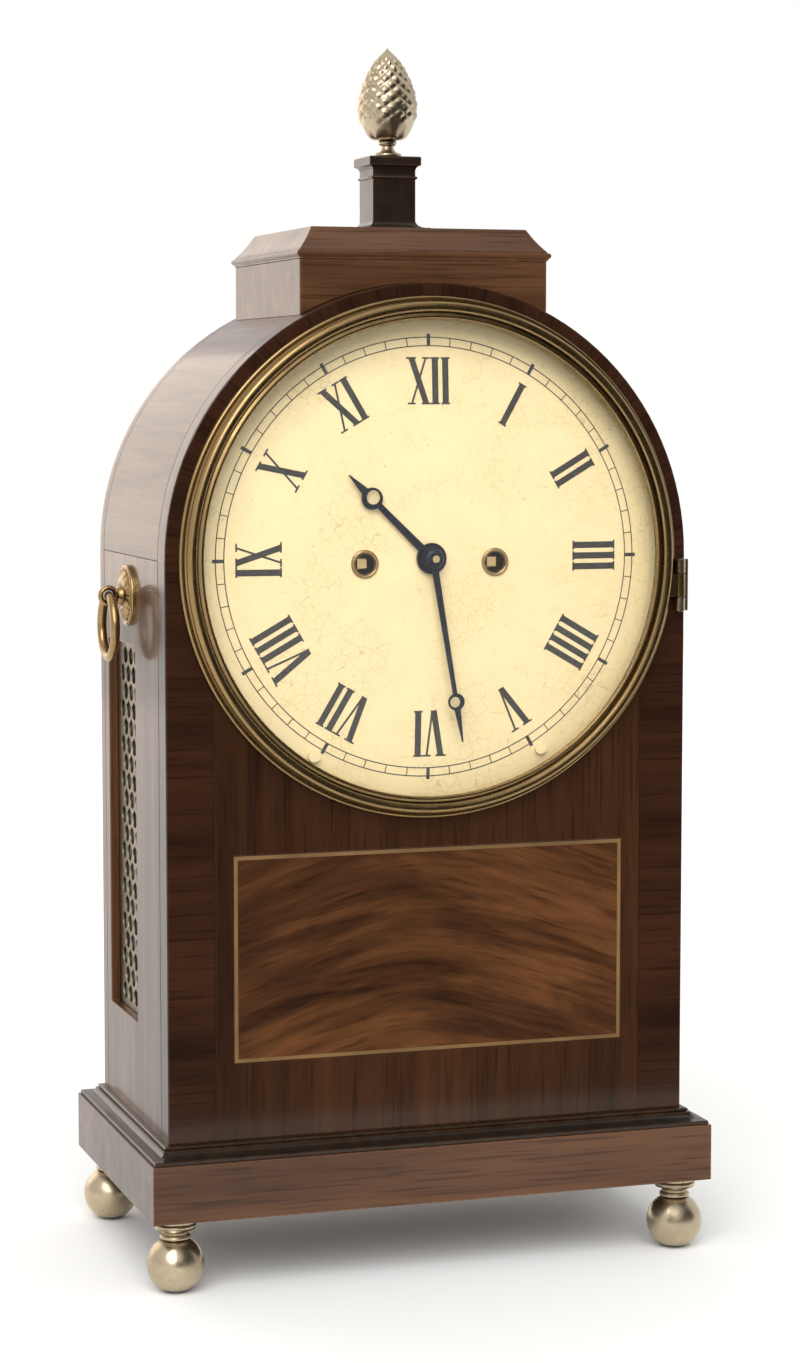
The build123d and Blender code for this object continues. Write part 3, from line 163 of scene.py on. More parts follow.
def block(bm, lowest, highest, round_off):
    """A block between two corners, its edges rounded."""
    lowest, highest = Vector(lowest) * MM, Vector(highest) * MM
    place = Matrix.Translation((lowest + highest) / 2)
    made = bmesh.ops.create_cube(bm, size=1,
                                 matrix=place @ Matrix.Diagonal((*(highest - lowest), 1)))
    edges = {edge for corner in made["verts"] for edge in corner.link_edges}
    bmesh.ops.bevel(bm, geom=list(edges), offset=round_off * MM, segments=2, affect="EDGES",
                    profile=0.5)


def tube(bm, path, radius, sides):
    """A closed round tube along a list of points."""
    loops = []
    side = None
    for index, point in enumerate(path):
        ahead = (path[min(index + 1, len(path) - 1)] - path[max(index - 1, 0)]).normalized()
        side = side or ahead.orthogonal()
        side = (side - ahead * side.dot(ahead)).normalized()
        up = ahead.cross(side)
        loops.append([vert(bm, point + side * x + up * y)
                      for x, y in arc((0, 0), radius, 0, 360, sides)[:-1]])
    skin(bm, loops, caps=True)


def slotted_screw(bm, place, axis, radius, height):
    """A domed screw head with a cut slot, standing out along an axis."""
    slot_angle = random.uniform(0, math.pi)
    cosine, sine = math.cos(slot_angle), math.sin(slot_angle)
    slot_share = 0.14
    limit = math.degrees(math.acos(slot_share))
    seat, floor = -0.3, height * 0.45
    turn(bm, [(0, seat), (radius, seat), (radius, floor), (0, floor)], place, axis, 24)
    for side in (-1, 1):
        loops = []
        for share, along in ((0.93, height), (1.0, height * 0.4)):
            loop = []
            for across, up in arc((0, 0), radius, -limit, limit, 12):
                across = side * (across * share + radius * slot_share * (1 - share))
                up *= share
                loop.append(vert(bm, spot(place, axis, across * cosine - up * sine,
                                          across * sine + up * cosine, along)))
            loops.append(loop)
        skin(bm, loops, caps=True)


def add_object(name, bm, finish):
    """An object made of a bmesh, with one finish."""
    mesh = bpy.data.meshes.new(name)
    bm.to_mesh(mesh)
    bm.free()
    mesh.materials.append(finish)
    made = bpy.data.objects.new(name, mesh)
    bpy.context.scene.collection.objects.link(made)
    return made


def new_piece(name, bm, body, slot, finish, *stands_for, sharp=35):
    """Make a piece of a bmesh, give it its finish and let it ride on its body."""
    bmesh.ops.recalc_face_normals(bm, faces=bm.faces)
    piece = add_object(name, bm, finish)
    piece.data.shade_smooth()
    piece.data.set_sharp_from_angle(angle=math.radians(sharp))
    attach(piece, body)
    if stands_for:
        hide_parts(*stands_for)
    return piece


def round_arrises(piece, width):
    """Round the sharp edges of a piece a little, as sanding and handling do."""
    weld = piece.modifiers.new("Join corners", "WELD")
    weld.merge_threshold = 0.002 * MM
    bevel = piece.modifiers.new("Round arrises", "BEVEL")
    bevel.width = width * MM
    bevel.segments = 2
    bevel.limit_method = "ANGLE"
    bevel.angle_limit = math.radians(40)
    bevel.use_clamp_overlap = True
    even = piece.modifiers.new("Even shading", "WEIGHTED_NORMAL")
    even.keep_sharp = True
    even.weight = 80


def finish_nodes(finish, arris, *nodes):
    """Give nodes of the frame their finish and, where wanted, rounded arrises."""
    for node in nodes:
        piece = frame["nodes"][node]
        for holder in piece.material_slots:
            holder.material = finish
        if arris:
            round_arrises(piece, arris)


# ------------------------------------------------------------------ finishes
class Value:
    """A value inside a material; arithmetic with it adds nodes."""

    def __init__(self, finish, socket):
        self.finish = finish
        self.socket = socket

    def math(self, operation, other=0.0):
        """One step of arithmetic."""
        return self.finish.value("Math", {0: self, 1: other}, operation=operation)

    def __add__(self, other):
        return self.math("ADD", other)

    def __sub__(self, other):
        return self.math("SUBTRACT", other)

    def __mul__(self, other):
        return self.math("MULTIPLY", other)

    def __abs__(self):
        return self.math("ABSOLUTE")

    def stretch(self, scale):
        """This place scaled by axis, which draws a pattern out along the small ones."""
        return self.finish.value("VectorMath", {0: self, 1: scale}, operation="MULTIPLY")

    def parts(self):
        """The three parts of this place."""
        node = self.finish.add("SeparateXYZ", {0: self})
        return [Value(self.finish, socket) for socket in node.outputs]

    def ramp(self, *stops):
        """A colour or grey that goes through (position, colour) stops."""
        node = self.finish.add("ValToRGB", {0: self})
        elements = node.color_ramp.elements
        while len(elements) < len(stops):
            elements.new(0.5)
        for element, (position, colour) in zip(elements, stops):
            element.position = position
            tone = colour if hasattr(colour, "__len__") else (colour,) * 3
            element.color = (*tone, 1)
        return Value(self.finish, node.outputs[0])

    def mix(self, first, second):
        """Two colours, mixed by this share."""
        return self.finish.value("Mix", {0: self, 6: first, 7: second}, 2, data_type="RGBA")

    def between(self, start, end, low=0.0, high=1.0):
        """This value spread from one range to another, and held at its ends."""
        return self.finish.value("MapRange", {"Value": self, "From Min": start, "From Max": end,
                                              "To Min": low, "To Max": high})


class Finish:
    """A material whose nodes are added one by one."""

    def __init__(self, name):
        self.material = bpy.data.materials.new(name)
        self.material.use_nodes = True
        self.tree = self.material.node_tree
        self.tree.nodes.clear()
        self.shader = self.add("BsdfPrincipled")
        self.surface = Value(self, self.shader.outputs["BSDF"])
        self.output = self.add("OutputMaterial", {"Surface": self.surface})
        self.place = self.value("TexCoord", output="Object")

    def add(self, kind, inputs=(), **settings):
        """A new node with its settings and its inputs filled."""
        node = self.tree.nodes.new("ShaderNode" + kind)
        for key, value in settings.items():
            setattr(node, key, value)
        for key, value in dict(inputs).items():
            self.join(value, node.inputs[key])
        return node

    def value(self, kind, inputs=(), output=0, **settings):
        """What a new node gives."""
        return Value(self, self.add(kind, inputs, **settings).outputs[output])

    def join(self, source, target):
        """Link a value to a socket, or set it where the value is a plain one."""
        if isinstance(source, Value):
            self.tree.links.new(source.socket, target)
        elif target.type == "RGBA":
            target.default_value = (*source, 1)
        else:
            target.default_value = source

    def noise(self, scale, detail=3.0, roughness=0.5, distortion=0.0, stretch=None, place=None):
        """A soft random pattern from 0 to 1; scale is in features a metre."""
        place = place or self.place
        if stretch:
            place = place.stretch(stretch)
        return self.value("TexNoise", {"Vector": place, "Scale": scale, "Detail": detail,
                                       "Roughness": roughness, "Distortion": distortion})

    def bands(self, period, axis, distortion, place=None):
        """Even stripes across an axis, one each period."""
        return self.value("TexWave", {"Vector": place or self.place,
                                      "Scale": math.tau / 20 / (period * MM),
                                      "Distortion": distortion, "Detail": 1.0}, "Fac",
                          bands_direction=axis)

    def whole(self, x, y, z):
        """A place made of three parts."""
        return self.value("CombineXYZ", {0: x, 1: y, 2: z})

    def worn_edges(self, width):
        """1 at the arrises and 0 on the flats, broken up as real wear is."""
        bevel = self.value("Bevel", {"Radius": width * MM}, samples=4)
        normal = self.value("NewGeometry", output="Normal")
        edge = self.value("VectorMath", {0: bevel, 1: normal}, "Value", operation="DOT_PRODUCT")
        return edge.between(0.99, 0.85) * self.noise(260, 4).ramp((0.35, 0.25), (0.65, 1.0))

    def hollow_grime_and_shade(self, reach):
        """1 in hollows and 0 in the open, by ambient occlusion: grime and old polish stay in the
        hollows, and the mask also paints shade there.
        """
        open_share = self.value("AmbientOcclusion", {"Distance": reach * MM}, "AO", samples=6)
        return open_share.between(0.85, 0.35)

    def done(self, colour, rough, relief=None, **sockets):
        """Fill the shader and give back the material; relief is (height, depth, strength)."""
        if relief:
            height, depth, strength = relief
            sockets["Normal"] = self.value("Bump", {"Height": height, "Distance": depth * MM,
                                                    "Strength": strength})
        for key, value in {"Base_Color": colour, "Roughness": rough, **sockets}.items():
            self.join(value, self.shader.inputs[key.replace("_", " ")])
        return self.material


POLISH = {"Specular_IOR_Level": 0.08, "Coat_Weight": 0.5, "Coat_Roughness": 0.09, "Coat_IOR": 1.5}


def tint(colour, share, lift=0.0):
    """A colour made darker or lighter."""
    return tuple(min(1.0, part * share + lift) for part in colour)


def along(axis, share):
    """A scale that draws a pattern out along an axis."""
    return tuple(share if each == axis else 1.0 for each in "XYZ")


def wood_layers(finish, place, grain, dark, light):
    """The tone, streaks and open pores of mahogany; gives its colour, relief and tone."""
    broad = finish.noise(16, 3, 0.55, 0.8, along(grain, 0.12), place)
    streak = finish.noise(120, 5, 0.62, 0.3, along(grain, 0.05), place)
    hair = finish.noise(700, 2, 0.6, 0.0, along(grain, 0.03), place)
    tone = broad * 0.55 + streak * 0.45
    pores = hair.ramp((0.54, 0.0), (0.66, 1.0))
    colour = (pores * 0.5).mix(tone.ramp((0.34, dark), (0.66, light)), tint(dark, 0.3))
    return colour, streak * 0.35 - pores, tone


@cache
def mahogany(grain):
    """French polished mahogany with the grain along one axis."""
    wood = settings().wood
    finish = Finish("Mahogany, grain along " + grain)
    colour, relief, tone = wood_layers(finish, None, grain, wood.dark, wood.light)
    colour = (finish.worn_edges(1.2) * 0.35).mix(colour, tint(wood.light, 2.1, 0.02))
    return finish.done(colour, tone.between(0.3, 0.7, 0.44, 0.3), (relief, 0.06, 0.35), **POLISH)


def banded_front(wood):
    """The front board: straight grain inside, and crossbanding that follows the arched edge."""
    finish = Finish("Banded mahogany front")
    centre_z, half_width = ARCH_CENTRE_Z * MM, CASE_HALF_WIDTH * MM
    x, y, z = finish.place.parts()
    across = abs(x)
    above = (z - centre_z).math("MAXIMUM")
    reach = (across * across + above * above).math("SQRT")
    path = z.math("MINIMUM", centre_z) + above.math("ARCTAN2", across) * half_width
    field, field_relief, tone = wood_layers(finish, None, "Z", wood.field_dark, wood.field_light)
    band, band_relief, _ = wood_layers(finish, finish.whole(reach, path, y), "X",
                                       wood.band_dark, wood.band_light)
    joint = half_width - wood.band_width
    in_band = reach.between(joint - 0.1 * MM, joint + 0.1 * MM)
    line = abs(reach - joint).between(0.35 * MM, 0.15 * MM)
    colour = (line * 0.7).mix(in_band.mix(field, band), (0.012, 0.006, 0.003))
    colour = (finish.worn_edges(1.2) * 0.35).mix(colour, tint(wood.field_light, 2))
    return finish.done(colour, tone.between(0.3, 0.7, 0.42, 0.3),
                       (in_band.mix(field_relief, band_relief), 0.06, 0.35), **POLISH)


def flame_veneer(wood):
    """Flame veneer: soft feathered bands that dip to one side of the middle line."""
    finish = Finish("Flame mahogany veneer")
    x, y, z = finish.place.parts()
    dip = abs(x + 9 * MM).math("POWER", 1.4) * 0.75
    place = finish.whole(x, y, z + dip)
    feather = finish.noise(62, 4, 0.58, 1.3, along("X", 0.16), place)
    broad = finish.noise(20, 2, 0.5, 0.4, along("X", 0.35), place)
    fine = finish.noise(260, 5, 0.64, 0.4, along("X", 0.12), place)
    hair = finish.noise(900, 2, 0.6, 0.0, (0.05, 1.0, 0.6), place)
    tone = feather * 0.45 + (fine * 0.25 + broad * 0.3)
    colour = tone.ramp((0.36, wood.field_dark), (0.5, wood.field_light), (0.64, wood.flame))
    pores = hair.ramp((0.56, 0.0), (0.68, 1.0))
    colour = (pores * 0.4).mix(colour, tint(wood.field_dark, 0.35))
    return finish.done(colour, tone.between(0.3, 0.7, 0.4, 0.26), (fine - pores, 0.04, 0.3),
                       **POLISH)


def ebonised_and_shaded(wood):
    """Ebonised wood, rubbed brown at its arrises; on the finial's pedestal it stands for mahogany in
    shade, so there it is painted shade.
    """
    finish = Finish("Ebonised wood and painted shade")
    mottle = finish.noise(90, 4, 0.6)
    hair = finish.noise(900, 2, 0.5, 0.0, along("X", 0.06))
    colour = mottle.between(0.35, 0.7).mix(wood.ebony_and_shade, tint(wood.ebony_and_shade, 1.8))
    colour = (finish.worn_edges(1.4) * 0.6).mix(colour, tint(wood.light, 0.9))
    return finish.done(colour, mottle.between(0.3, 0.7, 0.3, 0.42), (hair, 0.03, 0.3), **POLISH)


def boxwood(light):
    """Boxwood stringing, gone the colour of old polish."""
    finish = Finish("Boxwood line")
    streak = finish.noise(300, 4, 0.6, 0.0, (0.1, 1.0, 0.1))
    colour = streak.ramp((0.35, tint(light, 0.6)), (0.65, light))
    return finish.done(colour, streak.between(0.3, 0.7, 0.45, 0.32), **POLISH)


def brass(name, bright, tarnish, rough=(0.2, 0.42), scratch=(1.0, 0.05, 1.0), amount=0.5,
          hollow=2.0, wear=1.0):
    """Old brass: clouded lacquer, grime and painted shade in its hollows, and rubbed edges."""
    dirt_and_shade = settings().metal.dirt_and_shade
    finish = Finish(name)
    cloud = finish.noise(60, 6, 0.65, 0.4)
    fleck = finish.noise(900, 3, 0.6).ramp((0.62, 0.0), (0.74, 1.0))
    rubbed = finish.noise(2600, 2, 0.5, 0.0, scratch)
    colour = (cloud.ramp((0.36, 0.0), (0.7, 1.0)) * amount).mix(bright, tarnish)
    colour = (fleck * 0.45).mix(colour, dirt_and_shade)
    # Painted shade: ambient occlusion darkens the hollows toward the grime tone.
    if hollow:
        colour = (finish.hollow_grime_and_shade(hollow) * 0.85).mix(colour, dirt_and_shade)
    if wear:
        colour = (finish.worn_edges(wear) * 0.55).mix(colour, tint(bright, 1.25))
    return finish.done(colour, cloud.between(0.3, 0.7, *rough),
                       (rubbed + fleck * -0.6, 0.02, 0.3), Metallic=1.0)


@cache
def case_brass():
    """The brass of the feet, finial and hinges."""
    metal = settings().metal
    return brass("Aged lacquered brass", metal.bright, metal.tarnish)


@cache
def shaded_bezel_brass():
    """The brass of the bezel and handles, darkened as painted shade."""
    tone = settings().metal.bezel
    return brass("Shaded bezel brass", tone, tint(tone, 0.6), (0.2, 0.36), (1.0, 1.0, 1.0))


@cache
def movement_brass():
    """The satin brass of the movement."""
    tone = settings().metal.movement
    return brass("Movement brass", tone, tint(tone, 0.72), (0.28, 0.42), (1.0, 1.0, 0.04),
                 amount=0.4, hollow=0.0, wear=0.0)


def turned_brass(name, bright, tarnish, centre, axis, pitch):
    """Brass with the fine rings that a lathe leaves."""
    finish = Finish(name)
    off = finish.value("VectorMath", {0: finish.place, 1: centre * MM}, operation="SUBTRACT")
    radius = finish.value("VectorMath", {0: off.stretch(along(axis, 0.0))}, "Value",
                          operation="LENGTH")
    rings = finish.bands(pitch, "X", 0.6, finish.whole(radius, 0.0, 0.0))
    cloud = finish.noise(70, 5, 0.62, 0.4)
    fleck = finish.noise(700, 3, 0.6).ramp((0.63, 0.0), (0.74, 1.0))
    colour = (cloud.ramp((0.4, 0.0), (0.7, 1.0)) * 0.45).mix(bright, tarnish)
    colour = (fleck * 0.4).mix(colour, settings().metal.dirt_and_shade)
    return finish.done(colour, cloud.between(0.3, 0.7, 0.24, 0.4), (rings, 0.012, 0.4),
                       Metallic=1.0)


@cache
def movement_steel():
    """Filed steel with a few brown spots."""
    base = settings().metal.steel
    finish = Finish("Movement steel")
    cloud = finish.noise(110, 5, 0.6)
    lines = finish.noise(2200, 2, 0.5, 0.0, along("Y", 0.05))
    rust = finish.noise(420, 4, 0.6).ramp((0.66, 0.0), (0.76, 1.0))
    colour = cloud.between(0.3, 0.7).mix(base, tint(base, 0.6))
    colour = (rust * 0.5).mix(colour, (0.12, 0.05, 0.02))
    return finish.done(colour, cloud.between(0.3, 0.7, 0.28, 0.42), (lines, 0.02, 0.35),
                       Metallic=1.0)


def hand_blue():
    """Fire-blued steel, almost black, with a purple cast in places."""
    base = settings().metal.blue
    finish = Finish("Blued steel")
    cast = finish.noise(180, 3, 0.5)
    colour = cast.ramp((0.35, base), (0.7, tint(base, 1.7)))
    colour = (finish.worn_edges(0.3) * 0.5).mix(colour, (0.10, 0.09, 0.085))
    return finish.done(colour, cast.between(0.3, 0.7, 0.26, 0.4),
                       (finish.noise(2400, 2), 0.01, 0.3), Metallic=0.85)


def dial_paint(look):
    """Cream dial paint: clouded, yellower towards its rim, and finely crazed."""
    crack = (0.16, 0.11, 0.055)
    finish = Finish("Crazed cream paint")
    x, _, z = finish.place.parts()
    rise = z - ARCH_CENTRE_Z * MM
    radius = (x * x + rise * rise).math("SQRT")
    cloud = finish.noise(34, 5, 0.6, 0.5)
    mottle = finish.noise(260, 4, 0.6)
    aging = cloud.between(0.35, 0.7) * 0.5 + mottle.between(0.35, 0.7) * 0.2
    aging += radius.between(DIAL_RADIUS * 0.75 * MM, DIAL_RADIUS * MM, 0.0, 0.3)
    shift = finish.value("TexNoise", {"Vector": finish.place, "Scale": 300}, 1)
    bent = finish.value("VectorMath", {0: finish.place, 1: shift.stretch((0.002, 0.002, 0.002))},
                        operation="ADD")
    edge = finish.value("TexVoronoi", {"Vector": bent, "Scale": 210}, "Distance",
                        feature="DISTANCE_TO_EDGE")
    crazed = edge.between(0.028, 0.008) * cloud.between(0.42, 0.6)
    colour = (crazed * 0.35).mix(aging.mix(look.cream, look.aged), crack)
    spots = finish.noise(520, 2, 0.5).ramp((0.7, 0.0), (0.76, 1.0))
    colour = (spots * 0.35).mix(colour, crack)
    return finish.done(colour, mottle.between(0.3, 0.7, 0.36, 0.52),
                       (mottle * 0.5 - crazed, 0.03, 0.4), Coat_Weight=0.15, Coat_Roughness=0.25)


def numeral_paint(base):
    """Black numeral paint, thin in places."""
    finish = Finish("Figure paint")
    thin = finish.noise(620, 4, 0.62).ramp((0.52, 0.0), (0.72, 1.0))
    return finish.done((thin * 0.4).mix(base, (0.11, 0.09, 0.06)),
                       thin.between(0.0, 1.0, 0.38, 0.55), (thin, 0.01, 0.3))


@cache
def pane_glass():
    """Old window glass with faint waves, which lets the lamps through."""
    clear = (0.985, 0.99, 0.985)
    finish = Finish("Clear glass")
    specks = finish.noise(1300, 2, 0.5).ramp((0.72, 0.0), (0.8, 1.0))
    finish.done(clear, specks * 0.12 + 0.02, (finish.noise(38, 2, 0.5), 0.05, 0.15),
                Transmission_Weight=1.0, IOR=1.5)
    blend = finish.value("MixShader", {0: finish.value("LightPath", output="Is Shadow Ray"),
                                       1: finish.surface,
                                       2: finish.value("BsdfTransparent", {"Color": clear})})
    finish.join(blend, finish.output.inputs["Surface"])
    return finish.material


def woven_silk():
    """Plain woven silk, dark and faded in broad streaks."""
    finish = Finish("Dark silk")
    thread = 0.55
    cloth = finish.bands(thread, "Y", 0.4) * finish.bands(thread * 1.25, "Z", 0.4)
    fade = finish.noise(55, 4, 0.6, 0.4, along("Z", 0.25))
    slub = finish.noise(900, 2, 0.5, 0.0, along("Y", 0.08))
    tone = cloth * 0.4 + (fade * 0.4 + slub * 0.2)
    return finish.done(tone.ramp((0.25, (0.010, 0.009, 0.007)), (0.7, (0.060, 0.050, 0.036))),
                       cloth.between(0.0, 1.0, 0.7, 0.5), (cloth, 0.08, 0.6),
                       Sheen_Weight=0.35, Sheen_Roughness=0.4)


def twisted_gut():
    """Gut line, twisted and waxed."""
    dark, light = (0.16, 0.095, 0.04), (0.42, 0.29, 0.14)
    finish = Finish("Twisted gut")
    x, y, z = finish.place.parts()
    strands = finish.bands(0.9, "X", 0.5, finish.whole(x + (y + z), 0.0, 0.0))
    clouded = finish.noise(240, 3, 0.5).between(0.3, 0.7).mix(dark, light)
    return finish.done((strands * 0.7).mix(clouded, light),
                       strands.between(0.0, 1.0, 0.6, 0.42), (strands, 0.12, 0.6))


def floor_paint(name, tone):
    """A matt paint with the least unevenness."""
    finish = Finish(name)
    colour = finish.noise(3, 4, 0.5).ramp((0.3, tint(tone, 0.985)), (0.7, tone))
    return finish.done(colour, 0.8, (finish.noise(500, 2), 0.02, 0.2))


# ------------------------------------------------------------------ settings
def colour(name, description, default):
    """A colour that a user can change."""
    return FloatVectorProperty(name=name, description=description, default=default,
                               subtype="COLOR", size=3, min=0.0, max=1.0)


def length(name, description, default):
    """A length that a user can change."""
    return FloatProperty(name=name, description=description, default=default * MM, min=0.0,
                         unit="LENGTH")


class WoodSettings(bpy.types.PropertyGroup):
    """Colours and rounding of the case."""

    dark: colour("Grain", "Dark tone of the mahogany", (0.030, 0.0105, 0.0045))
    light: colour("Mahogany", "Light tone of the mahogany", (0.115, 0.050, 0.0205))
    field_dark: colour("Front grain", "Dark tone of the front's field",
                               (0.016, 0.0052, 0.0018))
    field_light: colour("Front", "Light tone of the front's field",
                                (0.056, 0.0205, 0.0066))
    band_dark: colour("Banding grain", "Dark tone of the crossbanding",
                              (0.012, 0.0038, 0.0015))
    band_light: colour("Banding", "Light tone of the crossbanding",
                               (0.045, 0.0150, 0.0058))
    flame: colour("Flame", "Brightest tone of the front veneer", (0.125, 0.047, 0.0155))
    # On the base moulding this is ebonised wood. On the finial's pedestal it is painted shade,
    # standing for mahogany in shade.
    ebony_and_shade: colour("Ebonised", "Tone of the ebonised mouldings", (0.012, 0.0075, 0.0045))
    line: colour("Stringing", "Tone of the boxwood line", (0.19, 0.108, 0.043))
    band_width: length("Banding width", "Width of the crossbanding on the front", 20)
    arris: length("Arris", "Rounding of the wooden edges", 0.5)


class MetalSettings(bpy.types.PropertyGroup):
    """Colours of the brass and steel."""

    bright: colour("Brass", "Clean tone of the outer brass", (0.56, 0.46, 0.32))
    tarnish: colour("Tarnish", "Clouded tone of the outer brass", (0.31, 0.245, 0.16))
    # This dark tone is grime in the brass's flecks, and painted shade where ambient occlusion lays it
    # in the hollows.
    dirt_and_shade: colour("Dirt and shade", "Dirt in the hollows of the brass", (0.055, 0.038, 0.020))
    # Painted shade: the bezel, handles and winding ferrules take this darker brass tone for the shade
    # they sit in.
    bezel: colour("Bezel", "Tone of the bezel", (0.37, 0.245, 0.108))
    movement: colour("Movement", "Tone of the movement's brass", (0.68, 0.50, 0.24))
    steel: colour("Steel", "Tone of the movement's steel", (0.42, 0.41, 0.40))
    blue: colour("Hands", "Tone of the blued hands", (0.012, 0.013, 0.022))


class DialSettings(bpy.types.PropertyGroup):
    """The painted dial, its figures and its track."""

    cream: colour("Paint", "Clean tone of the dial", (0.75, 0.60, 0.335))
    aged: colour("Aged paint", "Yellowed tone of the dial", (0.66, 0.51, 0.25))
    black: colour("Figures", "Tone of the figures", (0.018, 0.015, 0.012))
    figure_radius: length("Figure radius", "From the dial's centre to the figures", 73.5)
    figure_height: length("Figure height", "Height of the hour figures", 19.5)
    thick: length("Thick stroke", "Width of the figures' thick strokes", 2.7)
    thin: length("Thin stroke", "Width of the thin strokes and feet", 0.75)
    track_inner: length("Track inside", "Radius of the track's inner line", 88.0)
    track_outer: length("Track outside", "Radius of the track's outer line", 91.5)


class BrassworkSettings(bpy.types.PropertyGroup):
    """Carving of the cast brass pieces."""

    scales: IntProperty(name="Scales", default=11, min=4,
                        description="Scales in one ring of the pineapple finial")
    scale_depth: length("Scale depth", "Relief of the finial's scales", 1.0)
    petals: IntProperty(name="Petals", default=12, min=4,
                        description="Petals of the handles' rosettes")


class StudioSettings(bpy.types.PropertyGroup):
    """Camera and light."""

    yaw: FloatProperty(name="Turn", default=math.radians(18.0), subtype="ANGLE",
                       description="Camera's turn towards the clock's left side")
    pitch: FloatProperty(name="Tilt", default=math.radians(5.3), subtype="ANGLE",
                         description="Camera's tilt downward")
    distance: length("Distance", "From the camera to the middle of the view", 1287)
    lens: FloatProperty(name="Lens", default=81.7, min=1.0,
                        description="Focal length on a 36 mm sensor")
    world: FloatProperty(name="Room light", default=0.85, min=0.0,
                         description="Light that comes evenly from all round")
    sun: FloatProperty(name="Key light", default=2.55, min=0.0,
                       description="Strength of the broad overhead light")
    back: FloatProperty(name="Back light", default=14.5, min=0.0,
                        description="Power of the soft light behind the clock")


class ClockSettings(bpy.types.PropertyGroup):
    """Everything that can be changed."""

    wood: PointerProperty(type=WoodSettings)
    metal: PointerProperty(type=MetalSettings)
    dial: PointerProperty(type=DialSettings)
    brasswork: PointerProperty(type=BrassworkSettings)
    studio: PointerProperty(type=StudioSettings)


def settings():
    """The scene's settings."""
    return bpy.context.scene.clock


# ------------------------------------------------------------------ operators
class ClockOperator:
    """What all the clock's operators share."""

    bl_options = {"REGISTER", "UNDO"}


class CLOCK_OT_woodwork(ClockOperator, bpy.types.Operator):
    """Polish the case boards, front veneer and plinth"""

    bl_idname = "clock.woodwork"
    bl_label = "Woodwork"

    def execute(self, context):
        wood = settings().wood
        arris = wood.arris / MM
        finish_nodes(banded_front(wood), arris, "case_front")
        finish_nodes(flame_veneer(wood), 0.12, "front_panel")
        finish_nodes(boxwood(wood.line), 0.12, "front_stringing")
        finish_nodes(mahogany("X"), arris, "plinth", "bottom_board", "seat_board", "pad_block")
        finish_nodes(mahogany("Y"), arris, "arch_roof")
        finish_nodes(mahogany("Z"), arris, "side_left", "side_right", "case_back", "back_door")
        return {"FINISHED"}


def base_moulding(finish):
    """A step, a hollow and a bead between the plinth and the case."""
    lowest, highest = box("base_moulding")
    section = [(0, 0), (0.97, 0), (1, 0.05), (1, 0.22), (0.97, 0.28), (0.86, 0.28)]
    section += arc((0.86, 0.72), 0.50, 260, 180, 8, 0.44) + [(0.30, 0.74)]
    section += arc((0.15, 0.87), 0.13, -60, 90, 10) + [(0, 1)]
    bm = bmesh.new()
    run_round(bm, section, (CASE_HALF_WIDTH + 0.05, CASE_HALF_DEPTH + 0.05), highest.xy,
              lowest.z, highest.z - lowest.z, ring=True)
    new_piece("base_moulding_run", bm, "case", "dark_moulding", finish, "base_moulding",
              sharp=30)


def pad_top():
    """A small cornice under a low hipped top."""
    lowest, highest = box("pad_top")
    under = box("pad_block")[1]
    lap, slope, tall = 7.0, 4.0, highest.z - lowest.z
    inner = (under.x - lap, under.y - lap)
    edge = lap / (highest.x - inner[0])
    section = [(edge, 0), (edge + 0.04, 0.15), (edge + 0.04, 0.7), (edge + 0.09, 1.0)]
    section += arc((0.9, 2.3), 0.1, -80, 80, 10, 1.1)
    section += [(edge + 0.02, 3.6), (edge + 0.01, slope)]
    for step in range(1, 9):
        share = step / 9
        section.append((edge * (1 - share) + 0.05 * share - 0.05 * math.sin(math.pi * share),
                        slope + (tall - 0.5 - slope) * share))
    section += [(0.035, tall - 0.35), (0, tall)]
    bm = bmesh.new()
    run_round(bm, section, inner, highest.xy, lowest.z)
    new_piece("pad_cornice", bm, "case", "mahogany", mahogany("X"), "pad_top", sharp=30)


def pedestal(finish):
    """A square stem with a spreading foot and a moulded cap."""
    lowest, highest = box("pedestal")
    base, stem, cap, tall = highest.x, 9.5, 11.5, highest.z - lowest.z
    section = [(base - 0.3, 0), (base, 0.3), (base, 1.4), (base - 0.4, 1.8),
               (base - 1.1, 1.8)]
    section += arc((base - 1.1, 5.0), base - 1.1 - stem, 260, 180, 8, 3.2)
    section += [(stem + out, tall - down) for out, down in (
        (0, 9.6), (0.5, 9.4), (0.8, 8.9), (0.5, 8.4), (0, 8.2), (0, 6.0))]
    section += arc((cap, tall - 6.0), cap - stem, 170, 90, 5, 2.2)
    section += [(cap, tall - 3.6), (cap, tall - 0.5), (cap - 0.4, tall)]
    bm = bmesh.new()
    run_round(bm, section, (0, 0), (1, 1), lowest.z)
    # Painted shade: the pedestal takes the dark ebonised finish in place of mahogany in shade.
    new_piece("finial_pedestal", bm, "case", "dark_moulding", finish, "pedestal", sharp=30)


class CLOCK_OT_mouldings(ClockOperator, bpy.types.Operator):
    """Run the base moulding, the pad's cornice and the finial's pedestal"""

    bl_idname = "clock.mouldings"
    bl_label = "Mouldings"

    def execute(self, context):
        dark = ebonised_and_shaded(settings().wood)
        base_moulding(dark)
        pad_top()
        pedestal(dark)
        return {"FINISHED"}


